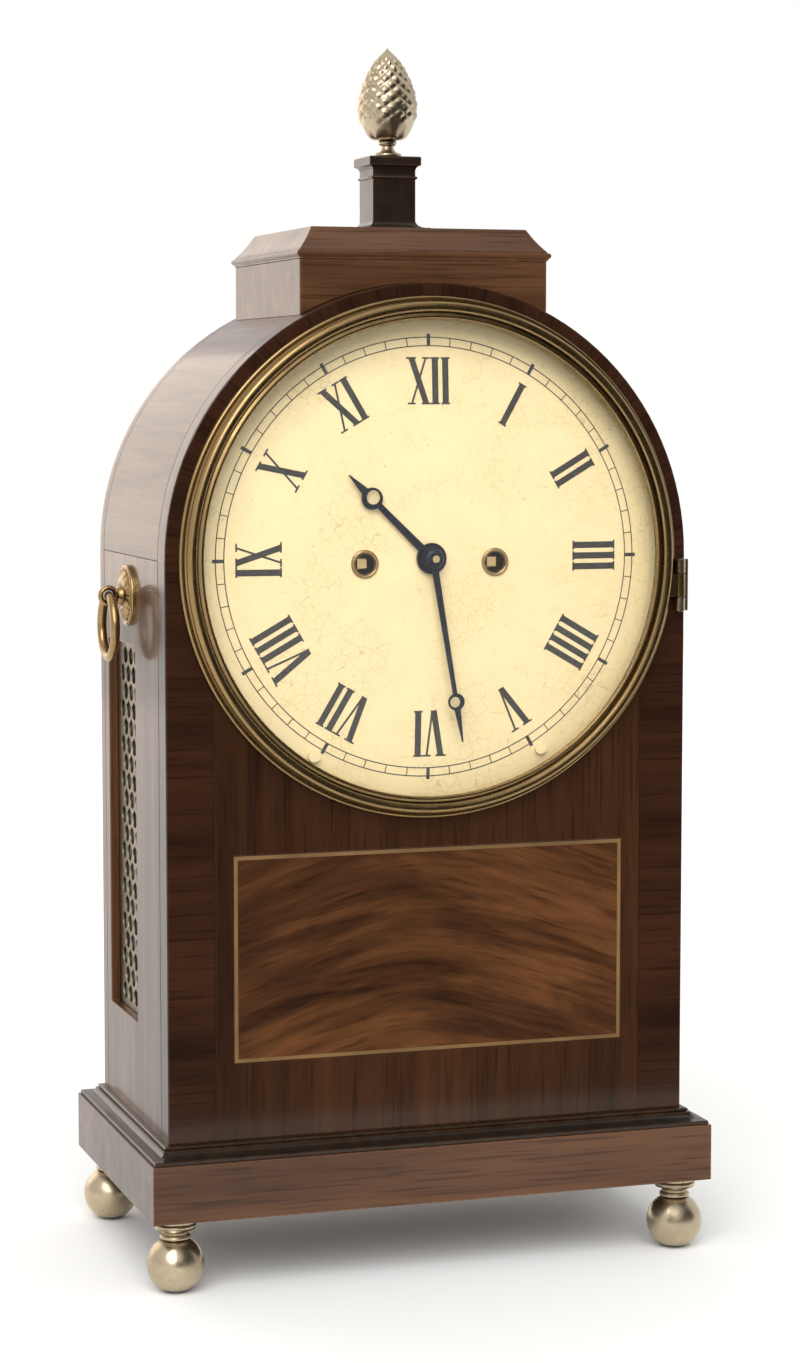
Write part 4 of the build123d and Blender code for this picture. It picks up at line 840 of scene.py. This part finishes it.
class CLOCK_OT_feet(ClockOperator, bpy.types.Operator):
    """Turn the four brass ball feet"""

    bl_idname = "clock.feet"
    bl_label = "Ball feet"

    def execute(self, context):
        highest = box("ball_feet")[1]
        ball, flat, neck, top = 12.0, 4.0, 5.4, box("plinth")[0].z
        ball_z = math.sqrt(ball ** 2 - flat ** 2)
        start, end = -math.degrees(math.asin(ball_z / ball)), math.degrees(math.acos(neck / ball))
        profile = [(0, 0)] + arc((0, ball_z), ball, start, end, 26)
        profile += arc((neck + 0.2, top - 8.0), 1.0, -70, 70, 6) + [(neck, top - 6.7)]
        profile += arc((neck + 3.2, top - 6.7), 3.2, 165, 90, 5, 2.4)
        profile += arc((8.2, top - 3.0), 0.8, -80, 80, 6)
        profile += [(8.1, top - 2.0), (9.0, top - 1.6), (9.0, top), (2.5, top),
                    (2.5, highest.z), (0, highest.z)]
        bm = bmesh.new()
        for sx in (-1, 1):
            for sy in (-1, 1):
                place = (sx * (highest.x - ball), sy * (highest.y - ball), 0)
                turn(bm, profile, place, steps=72)
        new_piece("turned_ball_feet", bm, "case", "polished_brass", case_brass(), "ball_feet")
        return {"FINISHED"}


class CLOCK_OT_finial(ClockOperator, bpy.types.Operator):
    """Carve the pineapple finial"""

    bl_idname = "clock.finial"
    bl_label = "Finial"

    def execute(self, context):
        work = settings().brasswork
        scales, depth = work.scales, work.scale_depth / MM
        foot, highest = box("pedestal")[1].z, box("finial")[1]
        tall = highest.z - foot
        profile = [(0, -14.0), (2.0, -14.0), (2.0, 0), (5.6, 0), (6.0, 0.5), (6.0, 1.4),
                   (5.4, 1.9)]
        profile += arc((5.2, 4.9), 2.5, 250, 180, 5, 3.0) + arc((2.9, 6.2), 1.1, -70, 70, 6)
        body_start, body_steps, body_foot = len(profile), 56, 7.6
        for step in range(body_steps + 1):
            share = step / body_steps
            swell = math.sin(math.pi * min(1.0, 0.04 + 0.96 * share) ** 0.78) ** 0.72
            radius = 2.6 * (1 - share) + (highest.x - 1.3) * max(swell, 0.0) * 0.97
            profile.append((max(radius, 0.5), body_foot + (tall * 0.985 - body_foot) * share))
        profile.append((0, tall))

        def carve(angle, index):
            share = (index - body_start) / body_steps
            if not 0.0 < share < 0.97:
                return 0.0
            leaves = max(0.0, 1 - share / 0.2) * 0.8 * (0.5 + 0.5 * math.cos(8 * angle))
            around, up = angle * scales / math.tau, share * 7.5
            scale = abs(math.sin(math.pi * (around + up)) * math.sin(math.pi * (around - up)))
            fade = min(1.0, max(0.0, (share - 0.14) / 0.1)) * min(1.0, (0.97 - share) / 0.12)
            return leaves + depth * (scale ** 0.55) * fade

        bm = bmesh.new()
        turn(bm, profile, (0, 0, foot), steps=154, carve=carve)
        new_piece("pineapple_finial", bm, "case", "polished_brass", case_brass(), "finial",
                  sharp=60)
        return {"FINISHED"}


def silk_panel(bm, side, lowest, highest):
    """A thin closed sheet with soft upright pleats, flat at its glued edges."""
    wide, tall, thick = 36, 84, 0.6
    corners = {}
    for face, x in (("out", highest.x), ("in", highest.x - thick)):
        for i in range(wide + 1):
            for j in range(tall + 1):
                u, v = i / wide, j / tall
                free = min(1.0, 6 * min(u, 1 - u)) * min(1.0, 12 * min(v, 1 - v))
                pleat = 0.5 + 0.5 * math.sin(math.tau * 7 * u + 1.3 * math.sin(3 * v))
                ripple = noise.noise(Vector((u * 4, v * 9, side * 3.0)))
                sink = free * (0.55 * pleat + 0.25 * abs(ripple))
                corners[face, i, j] = vert(bm, (side * (x - sink),
                                                lowest.y + (highest.y - lowest.y) * u,
                                                lowest.z + (highest.z - lowest.z) * v))
    for face in ("out", "in"):
        for i in range(wide):
            for j in range(tall):
                bm.faces.new([corners[face, i + a, j + b]
                              for a, b in ((0, 0), (1, 0), (1, 1), (0, 1))])
    rim = [(i, 0) for i in range(wide)] + [(wide, j) for j in range(tall)]
    rim += [(i, tall) for i in range(wide, 0, -1)] + [(0, j) for j in range(tall, 0, -1)]
    skin(bm, [[corners[face, *place] for place in rim] for face in ("out", "in")])


class CLOCK_OT_frets(ClockOperator, bpy.types.Operator):
    """Finish the pierced side frets and stretch silk behind them"""

    bl_idname = "clock.frets"
    bl_label = "Side frets"

    def execute(self, context):
        tone = tint(settings().metal.bright, 0.45)
        pierced = brass("Tarnished fret brass", tone, tint(tone, 0.5), (0.3, 0.5),
                        (1.0, 1.0, 0.05), hollow=1.2, wear=0.6)
        silk = woven_silk()
        lowest, highest = box("fret_silks")
        for side, name in ((-1, "left"), (1, "right")):
            finish_nodes(pierced, 0.16, "fret_" + name)
            bm = bmesh.new()
            silk_panel(bm, side, lowest, highest)
            piece = new_piece("silk_" + name, bm, "case", "silk", silk, "fret_silks", sharp=60)
        return {"FINISHED"}


class CLOCK_OT_handles(ClockOperator, bpy.types.Operator):
    """Cast the rosettes and rings of the side handles"""

    bl_idname = "clock.handles"
    bl_label = "Handles"

    def execute(self, context):
        petals = settings().brasswork.petals
        profile = [(0, -3.0), (2.0, -3.0), (2.0, 0), (13.0, 0), (13.0, 0.5)]
        profile += arc((12.0, 1.1), 1.0, -20, 100, 7) + [(11.0, 1.5), (10.6, 1.2)]
        petal_start, petal_steps = len(profile), 12
        for step in range(petal_steps):
            share = step / (petal_steps - 1)
            profile.append((10.4 - 5.6 * share,
                            1.3 + 2.4 * math.sin(math.pi * (0.12 + 0.5 * share))))
        profile += [(4.4, 3.2), (4.2, 3.8)] + arc((0, 3.4), 4.0, 15, 90, 8)[:-1] + [(0, 5.2)]

        def carve(angle, index):
            share = (index - petal_start) / petal_steps
            if not 0 <= share < 1:
                return 0.0
            return -0.9 * (1 - abs(math.sin(petals / 2 * angle))) ** 2 * (1 - share)

        for side, name in ((-1, "left"), (1, "right")):
            pivot = PIVOTS[name + "_ring_swing"]
            bm = bmesh.new()
            turn(bm, [(radius, side * min(height, 5.4)) for radius, height in profile],
                 (side * CASE_HALF_WIDTH, pivot.y, pivot.z), "X", 144, carve=carve)
            neck = sorted((side * (CASE_HALF_WIDTH + 1.0), pivot.x - side * 2.6))
            block(bm, (neck[0], pivot.y - 1.8, pivot.z - 2.6),
                  (neck[1], pivot.y + 1.8, pivot.z + 2.6), 0.5)
            eye = arc((3.4, 0), 1.05, 0, 360, 14, 1.05 * 1.8)[:-1]
            turn(bm, eye, pivot, "Y", 48, ring=True)
            new_piece("rosette_" + name, bm, "case", "polished_brass", shaded_bezel_brass(),
                      "handle_boss_" + name, sharp=50)
            ring = "handle_ring_" + name
            size = box(ring)[1] - box(ring)[0]
            wire = size.x / 2
            bm = bmesh.new()
            turn(bm, arc((size.z / 2 - wire, 0), wire, 0, 360, 20)[:-1], middle(ring), "X", 120,
                 ring=True)
            new_piece("drop_ring_" + name, bm, "ring_" + name, "polished_brass", shaded_bezel_brass(),
                      ring)
        return {"FINISHED"}


class CLOCK_OT_bezel(ClockOperator, bpy.types.Operator):
    """Turn the bezel, blow its glass and finish its hinge"""

    bl_idname = "clock.bezel"
    bl_label = "Bezel and glass"

    def execute(self, context):
        random.seed(11)
        outer = ARCH_CENTRE_Z - box("bezel")[0].z
        profile = [(0, 0), (0, -1.0)] + arc((-1.2, -1.6), 1.2, 0, -100, 8)
        profile += [(-1.9, -2.6), (-2.2, -3.4), (-2.9, -4.2)]
        profile += arc((-4.6, -5.7), 2.3, 25, -150, 14) + [(-6.9, -6.2), (-7.3, -6.4)]
        profile += arc((-8.5, -5.8), 1.0, -60, -180, 8)
        profile += [(-9.5, -4.5), (-6.7, -4.5), (-6.7, 0)]
        hinge, half = PIVOTS["bezel_hinge_turn"], 5.0
        bm = bmesh.new()
        turn(bm, [(outer + radius, along) for radius, along in profile],
             (0, CASE_FRONT_Y, ARCH_CENTRE_Z), "Y", 288, ring=True)
        block(bm, (outer - 4.0, hinge.y - 1.2, hinge.z - half + 0.2),
              (hinge.x - 1.4, hinge.y + 1.2, hinge.z + half - 0.2), 0.3)
        knuckle = [(1.1, -half), (2.0, -half), (2.2, 0.2 - half), (2.2, half - 0.2),
                   (2.0, half), (1.1, half)]
        turn(bm, knuckle, hinge, "Z", 40, ring=True)
        new_piece("moulded_bezel", bm, "bezel_door", "polished_brass", shaded_bezel_brass(), "bezel")

        edge, thick = box("dial_glass")[1].x, 2.0
        radii = [edge * math.sin(math.pi / 2 * step / 28) for step in range(29)]
        front = [(radius, dome(radius, edge, GLASS_DOME)) for radius in radii]
        profile = front + [(radius, along + thick) for radius, along in reversed(front)]
        bm = bmesh.new()
        turn(bm, profile, (0, box("dial_glass")[0].y, ARCH_CENTRE_Z), "Y", 160)
        new_piece("domed_glass", bm, "bezel_door", "glass", pane_glass(), "dial_glass")

        finish_nodes(case_brass(), 0.15, "bezel_hinge", "hinge_pins")
        bm = bmesh.new()
        for sign in (-1, 1):
            place = (box("bezel_hinge")[1].x, middle("bezel_hinge").y + 1.6, hinge.z + sign * 6.5)
            slotted_screw(bm, place, "X", 1.5, 0.6)
        new_piece("bezel_hinge_screws", bm, "case", "polished_brass", case_brass())
        return {"FINISHED"}


HOURS = ("XII", "I", "II", "III", "IIII", "V", "VI", "VII", "VIII", "IX", "X", "XI")
ADVANCE = {"I": 4.5, "V": 9.6, "X": 9.8}


def track(bm, inner, outer):
    """Two fine lines with a mark for each minute, longer at each five."""
    half = 0.22
    for radius in (inner, outer):
        face = dial_surface(radius)
        turn(bm, [(radius + side * half, face + depth)
                  for side, depth in ((-1, -0.05), (1, -0.05), (1, 0.1), (-1, 0.1))],
             (0, 0, ARCH_CENTRE_Z), "Y", 240, ring=True)
    for minute in range(60):
        wide, past = (0.75, 1.4) if minute % 5 == 0 else (0.2, 0.0)
        mark(bm, [(-wide, inner), (wide, inner), (wide, outer + past),
                       (-wide, outer + past)], math.radians(6 * minute), 0.0)


def mark(bm, outline, angle, middle_radius):
    """One painted shape, given across and along the radius, laid on the dished dial."""
    loops = []
    for depth in (-0.06, 0.1):
        loop = []
        for across, out in outline:
            reach = middle_radius + out
            x = reach * math.sin(angle) + across * math.cos(angle)
            z = reach * math.cos(angle) - across * math.sin(angle)
            loop.append(vert(bm, (x, dial_surface(math.hypot(x, z)) + depth,
                                  ARCH_CENTRE_Z + z)))
        loops.append(loop)
    skin(bm, loops, caps=True)


def figure(bm, text, angle, look):
    """One hour in strokes, its feet towards the centre."""
    half, thick, thin = look.figure_height / 2 / MM, look.thick / MM, look.thin / MM
    x = -sum(ADVANCE[letter] for letter in text) / 2
    for letter in text:
        centre = x + ADVANCE[letter] / 2
        spread = ADVANCE[letter] / 2 - thick * 0.62
        left, right = centre - spread, centre + spread
        x += ADVANCE[letter]
        strokes, feet = {
            "I": ([(centre, centre, thick)], [(centre, -half, 3.9), (centre, half, 3.9)]),
            "V": ([(centre + 0.3, left, thick), (centre + 0.9, right, thin * 1.2)],
                  [(left, half, 4.6), (right, half, 3.6)]),
            "X": ([(right, left, thick), (left, right, thin * 1.2)],
                  [(left, -half, 3.4), (left, half, 4.4), (right, -half, 4.4),
                   (right, half, 3.4)]),
        }[letter]
        outlines = []
        for start, end, width in strokes:
            for step in range(3):
                (x0, z0), (x1, z1) = [(start + (end - start) * share, half * (2 * share - 1))
                                      for share in (step / 3, (step + 1) / 3)]
                outlines.append([(x0 - width / 2, z0), (x0 + width / 2, z0),
                                 (x1 + width / 2, z1), (x1 - width / 2, z1)])
        for place, end, wide in feet:
            inward = end - math.copysign(thin, end)
            outlines.append([(place - wide / 2, end), (place + wide / 2, end),
                             (place + wide / 2, inward), (place - wide / 2, inward)])
        for outline in outlines:
            mark(bm, outline, angle, look.figure_radius / MM)


class CLOCK_OT_dial(ClockOperator, bpy.types.Operator):
    """Paint the dial, its figures and its minute track"""

    bl_idname = "clock.dial"
    bl_label = "Dial"

    def execute(self, context):
        look = settings().dial
        finish_nodes(dial_paint(look), 0, "dial")
        black = numeral_paint(look.black)
        bm = bmesh.new()
        for hour, text in enumerate(HOURS):
            figure(bm, text, math.radians(30 * hour), look)
        new_piece("hour_figures", bm, "case", "painted_dial", black, sharp=30)
        bm = bmesh.new()
        track(bm, look.track_inner / MM, look.track_outer / MM)
        new_piece("minute_track", bm, "case", "painted_dial", black, sharp=30)
        bm = bmesh.new()
        for arbor in ("going_fusee_turn", "strike_fusee_turn"):
            x, _, z = PIVOTS[arbor]
            face = dial_surface(math.hypot(x, z - ARCH_CENTRE_Z))
            section = [(4.3, 1.6), (4.3, -0.1)] + arc((5.2, -0.1), 0.75, 180, 360, 8)
            section += [(6.0, 0.3), (4.98, 0.3), (4.98, 1.6)]
            turn(bm, section, (x, face, z), "Y", 64, ring=True)
        new_piece("winding_ferrules", bm, "case", "polished_brass", shaded_bezel_brass())
        return {"FINISHED"}


class CLOCK_OT_hands(ClockOperator, bpy.types.Operator):
    """Blue the hands and fit the collet and its pin"""

    bl_idname = "clock.hands"
    bl_label = "Hands"

    def execute(self, context):
        finish = hand_blue()
        finish_nodes(finish, 0.14, "hour_hand", "minute_hand")
        lowest, highest = box("hand_collet")
        place = middle("hand_collet")
        bore, outer = 1.6, (highest.x - lowest.x) / 2
        profile = [(bore, highest.y), (outer - 0.2, highest.y), (outer, highest.y - 0.3)]
        profile += arc((bore + 0.7, highest.y - 0.5), outer - bore - 0.7, 0, 90, 10,
                       lowest.y + 0.5 - highest.y)
        profile += [(bore + 0.3, lowest.y), (bore, lowest.y + 0.3)]
        bm = bmesh.new()
        turn(bm, profile, (place.x, 0, place.z), "Y", 72, ring=True)
        pin, reach = Vector((place.x, lowest.y - 0.5, place.z)), Vector((3.6, 0, 1.2))
        tube(bm, [pin - reach, pin, pin + reach], 0.42, 12)
        new_piece("domed_collet", bm, "minute_arbor", "polished_brass", finish, "hand_collet")
        return {"FINISHED"}


class CLOCK_OT_back_door(ClockOperator, bpy.types.Operator):
    """Glaze the back door and screw on its hinges"""

    bl_idname = "clock.back_door"
    bl_label = "Back door"

    def execute(self, context):
        random.seed(5)
        finish_nodes(pane_glass(), 0, "back_glass")
        finish_nodes(case_brass(), 0.18, "back_hinges", "door_leaves", "back_latch")
        for node, name, body, offset in (
            ("back_hinges", "case_leaf_screws", "case", 1.6),
            ("door_leaves", "door_leaf_screws", "back_door_body", -1.6),
        ):
            lowest, highest = box(node)
            bm = bmesh.new()
            for centre in (lowest.z + 12.0, highest.z - 12.0):
                for rise in (-7.5, 0.0, 7.5):
                    place = (middle(node).x + offset, CASE_HALF_DEPTH + 1.2, centre + rise)
                    slotted_screw(bm, place, "Y", 1.6, 0.55)
            new_piece(name, bm, body, "polished_brass", case_brass())
        return {"FINISHED"}


def gut_lines():
    """The taut runs from barrel to fusee, and the turns wound on each barrel."""
    finish = twisted_gut()
    finish_nodes(finish, 0, "gut_lines")
    wire, turns, pitch, steps = 0.75, 9, 1.75, 48
    run = middle("gut_lines").y
    for train in ("going", "strike"):
        lowest, highest = box(train + "_barrel")
        pivot = PIVOTS[train + "_barrel_turn"]
        radius = (highest.x - lowest.x) / 2 - 1.5 + wire
        path = [Vector((pivot.x + across, run - pitch * (turns / 2 - step / steps),
                        pivot.z + up))
                for step, (across, up) in enumerate(arc((0, 0), radius, 0, 360 * turns,
                                                        turns * steps))]
        bm = bmesh.new()
        tube(bm, path, wire, 8)
        new_piece(train + "_barrel_gut", bm, train + "_barrel_body", "gut", finish)


def screws():
    """Cock and bell stand screws."""
    bm = bmesh.new()
    lowest, highest = box("back_cock")
    for sign in (-1, 1):
        slotted_screw(bm, (sign * (highest.x - 5.0), lowest.y + 12.0,
                           PIVOTS["anchor_rock"].z), "Y", 2.6, 0.9)
    plate = box("back_plate")[1]
    slotted_screw(bm, (box("bell_stand")[0].x + 5.0, plate.y + 2.5, plate.z - 10.0), "Y",
                  2.4, 0.8)
    new_piece("movement_screws", bm, "case", "movement_steel", movement_steel())


class CLOCK_OT_movement(ClockOperator, bpy.types.Operator):
    """Finish the plates, wheels, barrels and lines"""

    bl_idname = "clock.movement"
    bl_label = "Movement"

    def execute(self, context):
        random.seed(3)
        satin, tone = movement_brass(), settings().metal.movement
        finish_nodes(satin, 0.25, "front_plate", "back_plate", "plate_pillars", "back_cock")
        finish_nodes(satin, 0, "centre_wheel", "third_wheel", "escape_wheel", "cannon_wheel",
                     "minute_wheel", "hour_wheel", "pin_wheel")
        for node in ("going_barrel", "strike_barrel", "going_fusee", "strike_fusee"):
            finish_nodes(turned_brass("Turned brass of " + node, tone, tint(tone, 0.7),
                                      PIVOTS[node + "_turn"], "Y", 0.7), 0, node)
        finish_nodes(movement_steel(), 0.12, "pallets", "hammer", "seat_bolts", "bell_stand")
        gut_lines()
        screws()
        return {"FINISHED"}


def bob():
    """A lens of turned brass."""
    lowest, highest = box("pendulum_bob")
    place, tone = middle("pendulum_bob"), settings().metal.movement
    radius, half = (highest.x - lowest.x) / 2, (highest.y - lowest.y) / 2
    front = [(0, -half)]
    front += [(radius * 0.985 * x, -half * (0.12 + 0.88 * y ** 1.3))
              for x, y in arc((0, 0), 1, 84, 6, 13)]
    front += [(radius * 0.985, -half * 0.16), (radius, -half * 0.1)]
    bm = bmesh.new()
    turn(bm, front + [(r, -y) for r, y in reversed(front)], place, "Y", 128)
    finish = turned_brass("Turned brass of the bob", tone, tint(tone, 0.7), place, "Y", 0.9)
    new_piece("lens_bob", bm, "pendulum", "movement_brass", finish, "pendulum_bob")


def nut():
    """A knurled nut on a short neck."""
    lowest, highest = box("rating_nut")
    place = middle("rating_nut")
    wide, tall = (highest.x - lowest.x) / 2 - 0.2, highest.z - lowest.z
    profile = [(1.55, 0), (2.8, 0), (3.0, 0.2), (3.0, 3.0), (wide - 0.5, 3.0), (wide, 3.5),
               (wide, tall - 0.5), (wide - 0.5, tall), (1.55, tall)]
    bm = bmesh.new()
    turn(bm, profile, (place.x, place.y, lowest.z), "Z", 240, ring=True,
         carve=lambda angle, index: 0.2 * math.cos(30 * angle) if index in (5, 6) else 0.0)
    new_piece("knurled_nut", bm, "pendulum", "movement_brass", movement_brass(),
              "rating_nut")


def bell():
    """A cast bell with a thick sound bow."""
    lowest, highest = box("bell")
    place = middle("bell")
    mouth, tall, wall = (highest.x - lowest.x) / 2, highest.z - lowest.z, 1.9
    outside, inside = [], []
    for step in range(25):
        share = step / 24
        shape = math.sqrt(max(0.0, 1 - share ** 2.6)) * 0.92 + 0.08 * (1 - share)
        lip = 0.5 * max(0.0, 1 - share / 0.12)
        outside.append((max(mouth * shape, 4.8), tall * share))
        inside.append((max((mouth - wall) * shape - lip, 2.2), (tall - wall) * share))
    profile = outside + [(2.2, tall)] + inside[::-1]
    tone = (0.56, 0.47, 0.31)
    finish = turned_brass("Cast bell metal", tone, tint(tone, 0.6), place, "Z", 1.1)
    bm = bmesh.new()
    turn(bm, profile, (place.x, place.y, lowest.z), "Z", 128, ring=True)
    new_piece("cast_bell", bm, "case", "bell_metal", finish, "bell")


class CLOCK_OT_pendulum(ClockOperator, bpy.types.Operator):
    """Turn the pendulum bob, its nut and the bell"""

    bl_idname = "clock.pendulum"
    bl_label = "Pendulum and bell"

    def execute(self, context):
        finish_nodes(movement_steel(), 0.12, "pendulum_rod")
        bob()
        nut()
        bell()
        return {"FINISHED"}


def floor():
    """A plain pale floor."""
    bm = bmesh.new()
    bmesh.ops.create_circle(bm, cap_ends=True, radius=2.6, segments=96,
                            matrix=Matrix.Translation((0, 0.6, -0.2 * MM)))
    add_object("floor", bm, floor_paint("Pale floor", (0.82, 0.82, 0.81)))


def dark_card():
    """A dark card in front of the clock, which only its polish and brass mirror."""
    bm = bmesh.new()
    bmesh.ops.create_grid(bm, x_segments=1, y_segments=1, size=0.5,
                          matrix=Matrix.Translation((0.33, -0.3, 0.51))
                          @ Matrix.Rotation(math.radians(90), 4, "X"))
    card = add_object("dark_card", bm, floor_paint("Dark card", (0.03, 0.027, 0.024)))
    for reach in ("camera", "diffuse", "transmission", "volume_scatter", "shadow"):
        setattr(card, "visible_" + reach, False)


def room(scene, studio):
    """Even light from all round, and a white surround."""
    scene.world = bpy.data.worlds.new("White room")
    scene.world.use_nodes = True
    tree = scene.world.node_tree
    tree.nodes.clear()
    output, blend, path, light, seen = (
        tree.nodes.new("ShaderNode" + kind)
        for kind in ("OutputWorld", "MixShader", "LightPath", "Background", "Background"))
    for background, strength in ((light, studio.world), (seen, 1.0)):
        background.inputs["Color"].default_value = (1.0, 1.0, 0.995, 1)
        background.inputs["Strength"].default_value = strength
    for source, target in (
        (path.outputs["Is Camera Ray"], blend.inputs[0]),
        (light.outputs[0], blend.inputs[1]),
        (seen.outputs[0], blend.inputs[2]),
        (blend.outputs[0], output.inputs["Surface"]),
    ):
        tree.links.new(source, target)


def aimed(data, place, aim):
    """A lamp or camera at a place in metres, pointed along a direction."""
    made = bpy.data.objects.new(data.name, data)
    made.location = place
    made.rotation_euler = aim.to_track_quat("-Z", "Y").to_euler()
    bpy.context.scene.collection.objects.link(made)
    return made


def lamps(studio):
    """A broad overhead key and a large soft light behind the clock, neither seen itself."""
    for name, kind, place, target, values in (
        ("key", "SUN", (-0.9, -2.2, 2.2), (0, 0, 0.1),
         {"energy": studio.sun, "angle": math.radians(50)}),
        ("back_soft", "AREA", (-0.9, 2.0, 0.95), (0, 0, ARCH_CENTRE_Z * MM),
         {"energy": studio.back, "shape": "RECTANGLE", "size": 2.0, "size_y": 1.7,
          "color": (1.0, 0.84, 0.70)}),
    ):
        data = bpy.data.lights.new(name, kind)
        for key, value in values.items():
            setattr(data, key, value)
        aimed(data, place, Vector(target) - Vector(place)).visible_camera = False


def camera(scene, studio):
    """A long lens, a little to the left of the dial and just above it."""
    target = Vector((-13.8, CASE_FRONT_Y, 250)) * MM
    level = math.cos(studio.pitch)
    aim = Vector((math.sin(studio.yaw) * level, math.cos(studio.yaw) * level,
                  -math.sin(studio.pitch)))
    data = bpy.data.cameras.new("camera")
    data.lens = studio.lens
    data.sensor_width = 36.0
    data.clip_start = 0.05
    scene.camera = aimed(data, target - aim * studio.distance, aim)


class CLOCK_OT_stage(ClockOperator, bpy.types.Operator):
    """Set the floor, the lights and the camera"""

    bl_idname = "clock.stage"
    bl_label = "Stage"

    def execute(self, context):
        studio = settings().studio
        context.scene.view_settings.view_transform = "Standard"
        floor()
        dark_card()
        room(context.scene, studio)
        lamps(studio)
        camera(context.scene, studio)
        return {"FINISHED"}


OPERATORS = (
    CLOCK_OT_woodwork,
    CLOCK_OT_mouldings,
    CLOCK_OT_feet,
    CLOCK_OT_finial,
    CLOCK_OT_frets,
    CLOCK_OT_handles,
    CLOCK_OT_bezel,
    CLOCK_OT_dial,
    CLOCK_OT_hands,
    CLOCK_OT_back_door,
    CLOCK_OT_movement,
    CLOCK_OT_pendulum,
    CLOCK_OT_stage,
)


class CLOCK_PT_pieces(bpy.types.Panel):
    """The clock's steps and settings"""

    bl_label = "Bracket clock"
    bl_space_type = "VIEW_3D"
    bl_region_type = "UI"
    bl_category = "Clock"

    def draw(self, context):
        column = self.layout.column(align=True)
        for operator in OPERATORS:
            column.operator(operator.bl_idname)
        for group in ("wood", "metal", "dial", "brasswork", "studio"):
            frame_box = self.layout.box()
            frame_box.label(text=group.capitalize())
            values = getattr(context.scene.clock, group)
            for key in values.__annotations__:
                frame_box.prop(values, key)


GROUPS = (WoodSettings, MetalSettings, DialSettings, BrassworkSettings, StudioSettings,
          ClockSettings)
CLASSES = (*GROUPS, *OPERATORS, CLOCK_PT_pieces)


def register():
    """Add the classes and the scene's settings."""
    for item in CLASSES:
        bpy.utils.register_class(item)
    bpy.types.Scene.clock = PointerProperty(type=ClockSettings)


def unregister():
    """Take the classes and the settings away."""
    del bpy.types.Scene.clock
    for item in reversed(CLASSES):
        bpy.utils.unregister_class(item)


def main():
    """Make every piece."""
    register()
    for operator in OPERATORS:
        group, name = operator.bl_idname.split(".")
        getattr(getattr(bpy.ops, group), name)()


if __name__ == "__main__":
    main()
